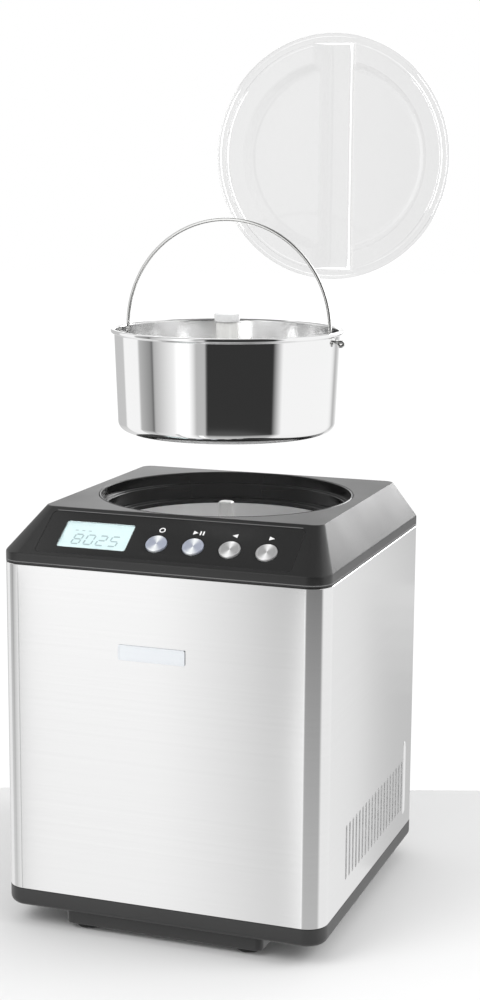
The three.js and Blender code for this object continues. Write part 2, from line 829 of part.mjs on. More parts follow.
// An involute gear with its first tooth pointing along an angle.
function gear(teeth, firstTooth, bottom, top) {
  const pressure = THREE.MathUtils.degToRad(20);
  const involute = (angle) => Math.tan(angle) - angle;
  const pitch = (gearModule * teeth) / 2;
  const base = pitch * Math.cos(pressure);
  const radii = [pitch - 1.3 * gearModule, pitch, pitch + 0.8 * gearModule];
  const halfAngle = (radius) => {
    const at = Math.acos(Math.min(1, base / Math.max(radius, base)));
    return Math.PI / (2 * teeth) - gearBacklash / (2 * pitch) + involute(pressure) - involute(at);
  };
  const points = [];
  for (let tooth = 0; tooth < teeth; tooth += 1) {
    const middle = firstTooth + (tooth * 2 * Math.PI) / teeth;
    for (const radius of radii) {
      const angle = middle - halfAngle(radius);
      points.push([radius * Math.cos(angle), radius * Math.sin(angle)]);
    }
    for (const radius of [...radii].reverse()) {
      const angle = middle + halfAngle(radius);
      points.push([radius * Math.cos(angle), radius * Math.sin(angle)]);
    }
  }
  return prism(points, bottom, top);
}

function outputGear() {
  const wheel = gear(gearTeeth, pinionDirection, gearBottom, gearBottom + gearThickness);
  return cut(wheel, disc(shaftRadius + gap, gearBottom - through, gearBottom + gearThickness + through));
}

function motorPinion() {
  const firstTooth = pinionDirection + Math.PI + Math.PI / pinionTeeth;
  const wheel = gear(pinionTeeth, firstTooth, gearBottom, gearBottom + gearThickness);
  return join(wheel, disc(motorShaftRadius, motorTop - 14, gearBottom + 1, 16));
}

function gearboxOutline(inset) {
  const reach = gearPitchRadius + gearModule + gearboxMargin + gearboxWall;
  const pinionReach = pinionPitchRadius + gearModule + gearboxMargin + gearboxWall;
  return roundRectangle(
    -reach + inset, wellY - reach + inset - Math.max(0, wellY - pinionY + pinionReach - reach),
    reach - inset, wellY + reach - inset, 8 - inset / 2,
  );
}

function gearboxHousing() {
  const body = prism(gearboxOutline(0), gearboxFloor, gearboxCoverBottom - gap);
  const inside = prism(gearboxOutline(gearboxWall), gearboxFloor + gearboxWall, gearboxTop);
  const motorHole = disc(motorShaftRadius + 1, gearboxFloor - through, gearBottom, 16)
    .translate(pinionX, pinionY, 0);
  return cut(body, inside, motorHole);
}

function gearboxCover() {
  const plate = prism(gearboxOutline(0), gearboxCoverBottom, gearboxTop);
  const shaftHole = disc(shaftRadius + 1.5, gearboxCoverBottom - through, gearboxTop + through)
    .translate(0, wellY, 0);
  return cut(plate, shaftHole);
}

function driveMotor() {
  const bottom = motorTop - motorLength;
  const bore = motorShaftRadius + 2 * gap;
  const can = turned([
    [0, bottom], [motorRadius - 5, bottom], [motorRadius - 5, bottom + 4], [motorRadius, bottom + 6],
    [motorRadius, motorTop - 6], [motorRadius - 6, motorTop], [bore, motorTop],
    [bore, motorTop - 16], [0, motorTop - 16],
  ], 24);
  return can.translate(pinionX, pinionY, 0);
}

function shaftBush() {
  const low = shelfTop + gap;
  const outer = shaftRadius + bushWall;
  return turned([
    [shaftRadius + 0.1, low], [outer, low], [outer, drumBottom + drumFloor + gap],
    [outer + 3, drumBottom + drumFloor + gap], [outer + 3, drumBottom + drumFloor + 1.2],
    [shaftRadius + 0.1, drumBottom + drumFloor + 1.2],
  ], 24);
}

piece('drive_shaft', 'steel', driveShaft(), well);
piece('output_gear', 'nylon', outputGear(), well);
piece('shaft_bush', 'nylon', shaftBush(), well);
piece('motor_pinion', 'steel', motorPinion(), groupAt(pinionX, pinionY, 0));
piece('gearbox_housing', 'aluminium', gearboxHousing());
piece('gearbox_cover', 'galvanised', gearboxCover());
piece('drive_motor', 'motor', driveMotor());

// ------------------------------------------------------------------ refrigeration in the machine room

const compressorBase = baseFloor + gap + grommetHeight + gap + bracketThickness + gap;
const compressorTop = compressorBase + compressorHeight;
const condenserBottom = plinthHeight + baseWall + gap;
const condenserTop = condenserBottom + condenserHeight;

function compressor() {
  const r = compressorRadius;
  const h = compressorHeight;
  return turned([
    [0, 0], [r - 14, 0], ...arc(r - 14, 14, 14, -90, 0, 3).slice(1), [r, h * 0.46], [r + 2.5, h * 0.47],
    [r + 2.5, h * 0.5], [r, h * 0.51], ...arc(r - 30, h - 30, 30, 0, 90, 3), [0, h],
  ], 20);
}

function compressorBracket() {
  const half = compressorRadius - 2;
  return prism(roundRectangle(-half, -half, half, half, 10), -bracketThickness - gap, -gap);
}

function grommetSpots() {
  const reach = compressorRadius - 14;
  return [[-1, -1], [1, -1], [-1, 1], [1, 1]].map(([x, y]) => [x * reach, y * reach]);
}

function grommet() {
  return turned([
    [0, 0], [grommetRadius, 0], [grommetRadius, 4], [grommetRadius - 2, 5.5], [grommetRadius - 2, 8.5],
    [grommetRadius, 10], [grommetRadius, grommetHeight], [0, grommetHeight],
  ], 12);
}

function condenser() {
  const x = condenserX - condenserThickness / 2;
  const front = fanSpot[0] - condenserLength / 2;
  const block = box(
    [x, front, condenserBottom], [x + condenserThickness, front + condenserLength, condenserTop],
  );
  const pitch = (condenserLength - 2 * finMargin) / (finGrooves - 1);
  const grooves = Array.from({ length: finGrooves }, (_, i) => {
    const y = front + finMargin + i * pitch;
    return box(
      [x - through, y - finGrooveWidth / 2, condenserBottom + 8],
      [x + finGrooveDepth, y + finGrooveWidth / 2, condenserTop - 8],
    );
  });
  return cut(block, ...grooves);
}

function fanShroud() {
  const x = condenserX - condenserThickness / 2 - gap;
  const half = fanRadius + 8;
  const plate = box([x - fanDepth - 6, -half, -half], [x, half, half]);
  const tunnel = disc(fanRadius + 3, x - fanDepth - 6 - through, x + through, 28).rotateY(Math.PI / 2);
  return cut(plate, tunnel).translate(0, fanSpot[0], fanSpot[1]);
}

function fanWheel() {
  const hub = disc(14, -fanDepth / 2, fanDepth / 2, 24);
  const blades = Array.from({ length: fanBlades }, (_, i) => {
    const blade = new THREE.BoxGeometry(fanRadius - 12, 20, 1.8).rotateX(0.5)
      .translate(12 + (fanRadius - 12) / 2, 0, 0);
    return blade.rotateZ((i * 2 * Math.PI) / fanBlades);
  });
  const bore = disc(3, -fanDepth, fanDepth / 2 - 3, 16);
  return cut(join(hub, ...blades), bore).rotateY(Math.PI / 2);
}

function fanMotor() {
  return turned([
    [0, -32], [15, -32], [16, -30], [16, -6], [12, -3], [2.6, -3], [2.6, 3], [0, 3],
  ], 24).rotateY(Math.PI / 2);
}

const compressorGroup = groupAt(compressorSpot[0], compressorSpot[1], compressorBase);
piece('compressor', 'enamel', compressor(), compressorGroup);
piece('compressor_bracket', 'galvanised', compressorBracket(), compressorGroup);
grommetSpots().forEach(([x, y], i) => {
  piece(`compressor_grommet_${i + 1}`, 'rubber', grommet(), groupAt(
    compressorSpot[0] + x, compressorSpot[1] + y, baseFloor + gap,
  ));
});
piece('compressor_terminal_cover', 'black', box([-18, 0, 0], [18, 20, 44]), groupAt(
  compressorSpot[0], compressorSpot[1] + compressorRadius + 3, compressorBase + 30,
));

piece('condenser', 'aluminium', condenser());
piece('fan_shroud', 'black', fanShroud());
piece('fan_wheel', 'black', fanWheel(), groupAt(fanX, fanSpot[0], fanSpot[1]));
piece('fan_motor', 'motor', fanMotor(), groupAt(fanX - fanDepth / 2 - 1, fanSpot[0], fanSpot[1]));

const dryerSpot = [condenserX - condenserThickness - 4, fanSpot[0] + condenserLength / 2 + dryerRadius - 16];
const dryerBottom = baseTop + 40;

function filterDryer() {
  return turned([
    [0, 0], [4, 0], [5, 6], [dryerRadius, 12], [dryerRadius, dryerLength - 12], [5, dryerLength - 6],
    [4, dryerLength], [0, dryerLength],
  ], 20);
}

piece('filter_dryer', 'copper', filterDryer(), groupAt(dryerSpot[0], dryerSpot[1], dryerBottom));

function dischargePipe() {
  const start = [compressorSpot[0] + 22, compressorSpot[1] - 10, compressorTop + pipeEndGap];
  const end = [condenserX, fanSpot[0] + condenserLength / 2 - 20, condenserTop + pipeEndGap];
  const high = start[2] + (gearboxFloor - start[2]) * 0.37;
  const shoulder = start[2] + (high - start[2]) * 0.55;
  return bar([
    start, [start[0], start[1], shoulder], [start[0] + 10, start[1] + 4, high],
    [end[0] - 12, end[1] - 2, high], [end[0], end[1], shoulder], end,
  ], pipeRadius, pipeSpacing, 6);
}

function liquidPipe() {
  const start = [condenserX - 4, fanSpot[0] + condenserLength / 2 + pipeRadius + 1, baseTop + 14];
  const end = [dryerSpot[0], dryerSpot[1], dryerBottom - 1];
  return bar([
    start, [start[0], start[1] + 8, start[2]], [end[0] + 8, end[1] + 4, end[2] - 22],
    [end[0], end[1], end[2] - 14], end,
  ], pipeRadius, pipeSpacing, 6);
}

function capillaryTube() {
  const start = [dryerSpot[0], dryerSpot[1], dryerBottom + dryerLength + pipeEndGap];
  const [x, y] = [portSpots[0][0], wellY + portSpots[0][1]];
  const rise = shelfTop - start[2];
  const top = drumBottom + coilTubeRadius + 2 + coilTurns * coilPitch - 8;
  return bar([
    start, [start[0], start[1], start[2] + rise * 0.11],
    [(start[0] + x) / 2, (start[1] + y) / 2, start[2] + rise * 0.38],
    [x + 3, y, start[2] + rise * 0.7], [x, y, shelfTop - 10], [x, y, shelfTop + 8],
    [x, y, top - 8], [x, y, top],
  ], capillaryRadius, pipeSpacing, 5);
}

function suctionPipe() {
  const [x, y] = [portSpots[1][0], wellY + portSpots[1][1]];
  const start = [compressorSpot[0] + 22, compressorSpot[1] + 22, compressorTop + pipeEndGap];
  const rise = shelfTop - start[2];
  return bar([
    start, [start[0], start[1], start[2] + rise * 0.1], [start[0] + 12, start[1] + 6, start[2] + rise * 0.22],
    [x - 10, y - 4, shelfTop - rise * 0.35], [x, y, shelfTop - rise * 0.2], [x, y, shelfTop - 4],
    [x, y, drumBottom - gap - 1],
  ], pipeRadius, pipeSpacing, 6);
}

piece('discharge_pipe', 'copper', dischargePipe());
piece('liquid_pipe', 'copper', liquidPipe());
piece('capillary_tube', 'copper', capillaryTube());
piece('suction_pipe', 'copper', suctionPipe());

function powerBoard() {
  const x = -sideX + 16;
  const low = baseTop + 14;
  const y = frontY + 34;
  const board = box([x, y, low], [x + 1.6, y + 92, low + 84]);
  const parts = [
    box([x + 1, y + 8, low + 8], [x + 26, y + 40, low + 36]),
    box([x + 1, y + 50, low + 10], [x + 18, y + 66, low + 34]),
    box([x + 1, y + 70, low + 12], [x + 14, y + 84, low + 30]),
    box([x + 1, y + 10, low + 50], [x + 16, y + 34, low + 70]),
    box([x + 1, y + 46, low + 48], [x + 20, y + 72, low + 60]),
  ];
  return join(board, ...parts);
}

piece('power_board', 'board', powerBoard());

// ------------------------------------------------------------------ bowl, bail and dasher

const hangingBowl = groupAt(0, wellY, bowlSeat + bowlLift);

function bowlInnerRadius(height) {
  return bowlFootRadius - bowlWall + (bowlTaper * height) / bowlHeight;
}

function bowl() {
  const h = bowlHeight;
  const r = bowlRimRadius;
  const round = bowlFootRound;
  const under = h - rimThickness;
  const bead = rimThickness / 2;
  const shell = turned([
    [tubeBore, 0], ...arc(bowlFootRadius - round, round, round, -90, 0, 3), [bowlTopRadius, under],
    ...arc(r - bead, h - bead, bead, -60, 90, 3), [bowlTopRadius - bowlWall, h],
    ...arc(bowlFootRadius - round, round, round - bowlWall, 0, -90, 3),
    [tubeRadius, bowlWall], [tubeRadius, tubeHeight], [tubeBore, tubeHeight],
  ], 40);
  const hole = disc(wireRadius + bailHoleClearance, -r - through, r + through, 16).rotateY(Math.PI / 2)
    .translate(0, 0, pivotHeight);
  const middle = box([-bowlTopRadius + 12, -6, pivotHeight - 6], [bowlTopRadius - 12, 6, pivotHeight + 6]);
  return cut(shell, cut(hole, middle));
}

// A half circle of wire on two short legs, with its ends turned out through the wall to a round head.
function bail() {
  const bend = bailBend;
  const leg = bailPivotDrop;
  const half = [
    [bailRadius, 0, bend], [bailRadius, 0, leg],
    ...arc(0, leg, bailRadius, 0, 90, 10).slice(1, -1).map(([x, z]) => [x, 0, z]),
  ];
  const corner = arc(bailRadius + bend, bend, bend, 270, 180, 4).slice(0, -1).map(([x, z]) => [x, 0, z]);
  const right = [[bailHeadStart + 1, 0, 0], ...corner, ...half];
  const left = right.map(([x, y, z]) => [-x, y, z]).reverse();
  const wire = bar([...right, [0, 0, leg + bailRadius], ...left], wireRadius, bailSpacing, 8);
  const heads = [1, -1].map((side) => disc(bailHeadRadius, bailHeadStart, bailHeadStart + bailHeadLength, 16)
    .rotateY((side * Math.PI) / 2));
  return join(wire, ...heads);
}

function dasher() {
  const socketTop = hubTop - capRoof - 0.3;
  const sleeveRadius = sleeveBore + sleeveWall;
  const shoulder = tubeHeight + 1;
  const body = turned([
    [0, 3], [sleeveRadius, 3], [sleeveRadius, shoulder], [hubRadius, shoulder + 5], [hubRadius, socketTop],
    [0, socketTop],
  ], 24);
  const tubeSpace = disc(sleeveBore, 3 - through, shoulder, 24);
  const socket = prism(
    octagon(driveAcross + 2 * socketClearance, driveChamfer + 0.2), shoulder - 1, socketTop + through,
  );
  const reach = (height) => bowlInnerRadius(height) - bladeClearance;
  const low = bowlWall + bladeClearance - 1;
  const chamfer = bowlFootRound;
  const blade = prism([
    [sleeveRadius - 1, low], [reach(low) - chamfer, low], [reach(chamfer), low + chamfer],
    [reach(bladeHeight), bladeHeight], [reach(bladeHeight) - bladeBar, bladeHeight],
    [reach(bladeHeight) - bladeBar - 2, low + bladeBar + 6],
    [reach(bladeHeight) - bladeBar - 8, low + bladeBar],
    [sleeveRadius + 12, low + bladeBar], [sleeveRadius + 3, low + bladeBar + 10],
    [sleeveRadius - 1, low + bladeBar + 14],
  ], -bladeThickness / 2, bladeThickness / 2).rotateX(Math.PI / 2);
  const shortBlade = prism([
    [-sleeveRadius + 1, low], [-sleeveRadius + 1, low + 40], [-sleeveRadius - 14, low + 36],
    [-reach(low) + 30, low + 14], [-reach(low) + chamfer, low + 8], [-reach(low) + chamfer, low],
  ].reverse(), -bladeThickness / 2, bladeThickness / 2).rotateX(Math.PI / 2);
  return cut(join(body, blade, shortBlade), tubeSpace, socket);
}

function dasherCap() {
  const skirtBottom = hubTop - 8;
  const skirtInner = hubRadius + gap;
  return turned([
    [skirtInner, skirtBottom], [capRadius - 0.6, skirtBottom], [capRadius, skirtBottom + 0.8],
    [capRadius, hubTop - 1], [capRadius - 1, hubTop], [0, hubTop], [0, hubTop - capRoof],
    [skirtInner, hubTop - capRoof],
  ], 24);
}

piece('bowl', 'polished', bowl(), hangingBowl);
piece('bail', 'polished', bail(), groupAt(0, 0, pivotHeight, hangingBowl));
piece('dasher', 'nylon', dasher(), hangingBowl);
piece('dasher_cap', 'frosted', dasherCap(), hangingBowl);

// ------------------------------------------------------------------ lid

// The lid's outer skin, or with an inset its inside: flange, plateau and a grip across the middle.
function lidSkin(inset) {
  const under = inset > 0 ? -through : 0;
  const rise = lidSheet + plateauRise - inset;
  const dome = turned([
    [0, under], [plateauRadius + 6 - inset, under], [plateauRadius + 6 - inset, lidSheet - inset],
    [plateauRadius - inset, rise], [0, rise],
  ], 36);
  const foot = gripBase / 2 - inset;
  const crest = gripTop / 2 - inset;
  const top = rise + gripRise;
  const length = lidRadius - 8 - inset;
  const grip = prism([[foot, under], [crest, top], [-crest, top], [-foot, under]], -length, length)
    .rotateX(Math.PI / 2);
  return join(dome, grip);
}

function lid() {
  const plate = disc(lidRadius, 0, lidSheet, 36);
  const lip = ring(lidRadius - 2.5, lidRadius, -lidLip + lidSheet, lidSheet, 36);
  const spigot = ring(rimSpace - 3 - lidSheet, rimSpace - 3, -3, lidSheet / 2, 36);
  const shell = join(plate, lidSkin(0), lip, spigot);
  return cut(shell, lidSkin(lidSheet));
}

const heldLid = groupAt(...lidSpot);
heldLid.rotation.x = -Math.PI / 2;
piece('lid', 'clear', lid(), heldLid);

export default object;
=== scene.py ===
"""Counter-top ice cream maker with a lift-out bowl and a clear lid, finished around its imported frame.

Lengths in the helpers are millimetres and each mesh is scaled to metres when it is made.
+X is right, +Y is back and +Z is up, and the origin is the middle of the base pan's underside.
"""

import math

import bmesh
import bpy
from mathutils import Matrix, Vector


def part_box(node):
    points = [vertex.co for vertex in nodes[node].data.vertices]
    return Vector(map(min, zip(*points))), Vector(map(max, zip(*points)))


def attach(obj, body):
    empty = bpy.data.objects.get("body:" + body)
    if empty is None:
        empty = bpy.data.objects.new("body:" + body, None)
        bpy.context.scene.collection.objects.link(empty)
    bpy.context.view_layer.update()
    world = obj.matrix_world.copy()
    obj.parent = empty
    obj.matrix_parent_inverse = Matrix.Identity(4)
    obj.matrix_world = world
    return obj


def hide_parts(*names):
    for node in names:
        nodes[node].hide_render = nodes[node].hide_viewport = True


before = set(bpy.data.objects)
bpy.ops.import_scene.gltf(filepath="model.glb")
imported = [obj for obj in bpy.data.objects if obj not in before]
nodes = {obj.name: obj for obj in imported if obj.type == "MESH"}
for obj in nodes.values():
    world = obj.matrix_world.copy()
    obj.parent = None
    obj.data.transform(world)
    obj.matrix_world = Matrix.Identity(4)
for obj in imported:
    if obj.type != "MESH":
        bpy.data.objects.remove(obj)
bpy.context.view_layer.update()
MM = 0.001
scene = bpy.context.scene


def box_mm(node):
    """A CAD node's lowest and highest corners at rest, in millimetres."""
    low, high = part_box(node)
    return low / MM, high / MM


def middle(node):
    return tuple((a + b) / 2 for a, b in zip(*box_mm(node)))


def shift(x, y, z):
    return Matrix.Translation((x, y, z))


def rotate(degrees, axis):
    return Matrix.Rotation(math.radians(degrees), 4, axis)


# ---- sizes read from the frame

wrap_low, wrap_high = box_mm("body_wrap")
cover_low, cover_high = box_mm("top_cover")
collar_low, collar_high = box_mm("well_collar")
bowl_low, bowl_high = box_mm("bowl")

SIDE = wrap_high.x
FRONT = wrap_low.y
BACK = wrap_high.y
DECK = cover_high.z
BASE = box_mm("base_pan")[0].z
FOOT_LEVEL = box_mm("foot_front_left")[0].z
WELL_Y = (collar_low.y + collar_high.y) / 2
BOWL_FOOT = bowl_low.z
BOWL_RIM = bowl_high.z
BOWL_LIFT = 165  # from the bowl's seat to where it hangs at rest
BAIL_HEIGHT = 81  # from the bowl's foot to the bail's pivots
BAIL_PIVOT = box_mm("bail")[0].z + 3.5  # the curled ends hang below it
VENT_Y, VENT_Z, VENT_COUNT, VENT_PITCH = 12, wrap_low.z + 44, 19, 10
RIB_Y, RIB_Z = 112, 78
GAP = 0.3

FRONT_CORNER, REAR_CORNER, DECK_CORNER = 18.0, 12.0, 9.0
RUN_FRONT, RUN_SIDE, RUN_BACK, RISE = 48.5, 19.3, 18.0, 32.4
BAND_TOP = DECK - RISE
SLOPE_ANGLE = math.atan2(RISE, RUN_FRONT)
SLOPE_LENGTH = math.hypot(RUN_FRONT, RISE)
SLOPE = shift(0, FRONT, BAND_TOP) @ Matrix.Rotation(SLOPE_ANGLE, 4, "X")


# ---- camera

CAMERA_TURN, CAMERA_DROP, CAMERA_ROLL = 19.56, 10.39, 0.38
CAMERA_PLACE = (0.55926, -1.52244, 0.64881)
CAMERA_LENS = 67.59


def place_camera():
    azimuth, drop, roll = (math.radians(a) for a in (CAMERA_TURN, CAMERA_DROP, CAMERA_ROLL))
    back = Vector((math.sin(azimuth) * math.cos(drop), -math.cos(azimuth) * math.cos(drop), math.sin(drop)))
    right = Vector((math.cos(azimuth), math.sin(azimuth), 0))
    up = back.cross(right)
    data = bpy.data.cameras.new("studio_camera")
    data.lens, data.sensor_width = CAMERA_LENS, 36
    camera = bpy.data.objects.new("studio_camera", data)
    axes = (math.cos(roll) * right + math.sin(roll) * up, math.cos(roll) * up - math.sin(roll) * right, back)
    camera.matrix_world = shift(*CAMERA_PLACE) @ Matrix(axes).transposed().to_4x4()
    scene.collection.objects.link(camera)
    scene.camera = camera


place_camera()
scene.view_settings.view_transform = "Standard"


# ---- node helpers

def new_material(name):
    made = bpy.data.materials.new(name)
    made.use_nodes = True
    return made, made.node_tree, made.node_tree.nodes["Principled BSDF"]


def blank_tree(holder):
    holder.use_nodes = True
    holder.node_tree.nodes.clear()
    return holder.node_tree


def add(tree, kind, **settings):
    node = tree.nodes.new(kind)
    for key, value in settings.items():
        setattr(node, key, value)
    return node


def put(node, *values, **named):
    """Sets a node's inputs, in order or by name with _ for a space. A value that is another node's output
    is linked, and None leaves the input alone."""
    inputs = [*enumerate(values), *((key.replace("_", " "), value) for key, value in named.items())]
    for key, value in inputs:
        if isinstance(value, bpy.types.NodeSocket):
            node.id_data.links.new(value, node.inputs[key])
        elif value is not None:
            node.inputs[key].default_value = value
    return node


def new_group(name, inputs, outputs):
    """A shader node group: inputs are (name, value) and outputs are names."""
    tree = bpy.data.node_groups.new(name, "ShaderNodeTree")
    for label, value in inputs:
        socket = tree.interface.new_socket(name=label, in_out="INPUT", socket_type="NodeSocketFloat")
        socket.default_value = value
        socket.min_value, socket.max_value = -10000, 10000
    for label in outputs:
        tree.interface.new_socket(name=label, in_out="OUTPUT", socket_type="NodeSocketFloat")
    return tree, add(tree, "NodeGroupInput").outputs, add(tree, "NodeGroupOutput")


def math_node(tree, operation, a, b=0.0, clamp=False):
    return put(add(tree, "ShaderNodeMath", operation=operation, use_clamp=clamp), a, b).outputs[0]


def vector_node(tree, operation, a, b, output=0):
    return put(add(tree, "ShaderNodeVectorMath", operation=operation), a, b).outputs[output]


def noise(tree, place, scale, detail=2.0, roughness=0.5):
    node = add(tree, "ShaderNodeTexNoise")
    return put(node, Vector=place, Scale=scale, Detail=detail, Roughness=roughness).outputs["Fac"]


def own_place(tree):
    """Where a point of the surface is, in metres of its own object."""
    return add(tree, "ShaderNodeTexCoord").outputs["Object"]


def split(tree, vector):
    return put(add(tree, "ShaderNodeSeparateXYZ"), vector).outputs


def combined(tree, *numbers):
    return put(add(tree, "ShaderNodeCombineXYZ"), *numbers).outputs[0]


def grain_group():
    """Fine parallel scratches. The inputs are how many there are per metre on each axis."""
    tree, enter, leave = new_group(
        "sanded_grain", [("X Lines", 6), ("Y Lines", 6), ("Z Lines", 1400)], ["Height", "Streak"])
    place = own_place(tree)
    for detail, output, share in ((2.0, "Height", 1.0), (4.0, "Streak", 0.13)):
        lines = [math_node(tree, "MULTIPLY", enter[f"{axis} Lines"], share) for axis in "XYZ"]
        stretched = vector_node(tree, "MULTIPLY", place, combined(tree, *lines))
        put(leave, **{output: noise(tree, stretched, 1.0, detail)})
    return tree


def turned_group():
    """Rings left by a lathe about an upright axis, with a few radial streaks, and as a mask the painted
    two-winged highlight of a turned face."""
    tree, enter, leave = new_group(
        "lathe_marks", [("Centre X", 0), ("Centre Y", 0), ("Rings", 900), ("Rays", 9)], ["Height", "Streak", "Fan"])
    apart = split(tree, own_place(tree))
    x = math_node(tree, "SUBTRACT", apart[0], enter["Centre X"])
    y = math_node(tree, "SUBTRACT", apart[1], enter["Centre Y"])
    radius = math_node(tree, "SQRT", math_node(
        tree, "ADD", math_node(tree, "MULTIPLY", x, x), math_node(tree, "MULTIPLY", y, y)))
    angle = math_node(tree, "ARCTAN2", y, x)
    rays = [math_node(tree, "MULTIPLY", math_node(tree, function, angle), enter["Rays"])
            for function in ("SINE", "COSINE")]
    rings = combined(tree, math_node(tree, "MULTIPLY", radius, enter["Rings"]))
    # Painted highlight: a two-winged bright mask that peaks in line with the Y axis through the centre.
    fan = math_node(tree, "POWER", math_node(tree, "ABSOLUTE", math_node(tree, "SINE", angle)), 5.0)
    put(leave, Height=noise(tree, rings, 1.0, 3.0), Streak=noise(tree, combined(tree, *rays), 1.0, 1.0), Fan=fan)
    return tree


def moulded_group():
    """The spark-eroded skin of a moulding: a fine height, and a broad mask that changes its sheen."""
    tree, enter, leave = new_group("moulded_skin", [("Grains", 1600), ("Patches", 14)], ["Height", "Patch"])
    place = own_place(tree)
    put(leave, Height=noise(tree, place, enter["Grains"]), Patch=noise(tree, place, enter["Patches"], 3.0))
    return tree


def worn_group():
    """A mask that is 1 on exposed edges and 0 on flats and hollows."""
    tree, enter, leave = new_group("worn_edges", [("Reach", 0.06)], ["Edge"])
    sharp = math_node(tree, "SUBTRACT", add(tree, "ShaderNodeNewGeometry").outputs["Pointiness"], 0.5)
    put(leave, Edge=math_node(tree, "DIVIDE", sharp, enter["Reach"], clamp=True))
    return tree


def handled_group():
    """Faint wipe marks from hands and cloths, as a mask."""
    tree, enter, leave = new_group("wipe_marks", [("Size", 9)], ["Mark"])
    soft = noise(tree, own_place(tree), enter["Size"], 5.0, 0.6)
    put(leave, Mark=math_node(tree, "POWER", soft, 2.0, clamp=True))
    return tree


GRAIN, TURNED, MOULDED, WORN, HANDLED = (
    grain_group(), turned_group(), moulded_group(), worn_group(), handled_group())


def use(tree, group, **values):
    """The outputs of a group placed in a material with its own values."""
    return put(add(tree, "ShaderNodeGroup", node_tree=group), **values).outputs


def between(tree, mask, low, high, start=0.0, end=1.0):
    """A number that runs from low to high while the mask runs from start to end."""
    node = add(tree, "ShaderNodeMapRange")
    return put(node, Value=mask, From_Min=start, From_Max=end, To_Min=low, To_Max=high).outputs["Result"]


def tint(tree, mask, low, high):
    node = add(tree, "ShaderNodeMix", data_type="RGBA")
    return put(node, Factor=mask, A=(*low, 1), B=(*high, 1)).outputs["Result"]


def bump(tree, height, distance, strength):
    return put(add(tree, "ShaderNodeBump"), Distance=distance, Strength=strength, Height=height).outputs[0]


def grey(value):
    return (value, value, value)


def inward(tree):
    """A mask that is 1 on walls that face the well's upright axis."""
    around = vector_node(tree, "SUBTRACT", own_place(tree), (0, WELL_Y * MM, 0))
    flat = vector_node(tree, "MULTIPLY", around, (1, 1, 0))
    normal = add(tree, "ShaderNodeNewGeometry").outputs["True Normal"]
    return math_node(tree, "LESS_THAN", vector_node(tree, "DOT_PRODUCT", flat, normal, "Value"), -0.02)


def marked_metal(name, tone, contrast, roughness, spread, metallic, depth, strength, marks):
    """Metal with tool marks. marks places them in a node tree and gives a tint mask, which on the buttons is a painted
    highlight, and the marks' height.
    """
    made, tree, shader = new_material(name)
    mask, height = marks(tree)
    dark = tuple(max(0, c - contrast) for c in tone)
    light = tuple(min(1, c + contrast) for c in tone)
    put(shader, Base_Color=tint(tree, mask, dark, light), Metallic=metallic,
        Roughness=between(tree, height, roughness * (1 - spread), roughness * (1 + spread)),
        Normal=bump(tree, height, depth, strength))
    return made


def sanded_metal(name, tone, roughness, lines, depth=0.00002, strength=0.25, contrast=0.05, metallic=1.0):
    """Metal with a one-way grain. tone is its reflectance."""
    def marks(tree):
        grain = use(tree, GRAIN, X_Lines=lines[0], Y_Lines=lines[1], Z_Lines=lines[2])
        return grain["Streak"], grain["Height"]

    return marked_metal(name, tone, contrast, roughness, 0.15, metallic, depth, strength, marks)


def lathed_metal(name, tone, roughness, centre, rings, rays, contrast, metallic, mask="Streak"):
    """Turned metal. mask names the group output that tints it; on the buttons that is the painted highlight."""
    def marks(tree):
        turned = use(tree, TURNED, Centre_X=centre[0], Centre_Y=centre[1], Rings=rings, Rays=rays)
        return turned[mask], turned["Height"]

    return marked_metal(name, tone, contrast, roughness, 0.2, metallic, 0.00002, 0.25, marks)


def polished_metal(name, tone, roughness, marked=0.03, inside=None):
    """Bright metal with faint wipe marks. inside is the duller roughness of a vessel's inward side."""
    made, tree, shader = new_material(name)
    finish = between(tree, use(tree, HANDLED, Size=11)["Mark"], roughness, roughness + marked)
    if inside is not None:
        finish = math_node(tree, "ADD", finish, math_node(tree, "MULTIPLY", inward(tree), inside - roughness))
    edges = use(tree, WORN, Reach=0.08)["Edge"]
    put(shader, Base_Color=tint(tree, edges, tone, tuple(min(1, c * 1.06) for c in tone)), Roughness=finish,
        Metallic=1)
    return made


def moulding(name, tone, roughness, grains=1600, depth=0.00004, strength=0.2, worn=1.5, spread=0.06):
    """Moulded plastic or rubber, a little lighter on its edges."""
    made, tree, shader = new_material(name)
    surface = use(tree, MOULDED, Grains=grains, Patches=16)
    edges = use(tree, WORN, Reach=0.1)["Edge"]
    put(shader, Base_Color=tint(tree, edges, tone, tuple(min(1, c * worn + 0.004) for c in tone)),
        Roughness=between(tree, surface["Patch"], roughness - spread, roughness + spread),
        Normal=bump(tree, surface["Height"], depth, strength))
    return made


def clear_plastic(name, tone, roughness, transmission, ior):
    """See-through plastic whose polish changes a little where it has been handled."""
    made, tree, shader = new_material(name)
    marks = use(tree, HANDLED, Size=8)["Mark"]
    put(shader, Base_Color=(*tone, 1), Roughness=between(tree, marks, roughness, roughness + 0.03),
        Transmission_Weight=transmission, IOR=ior)
    return made


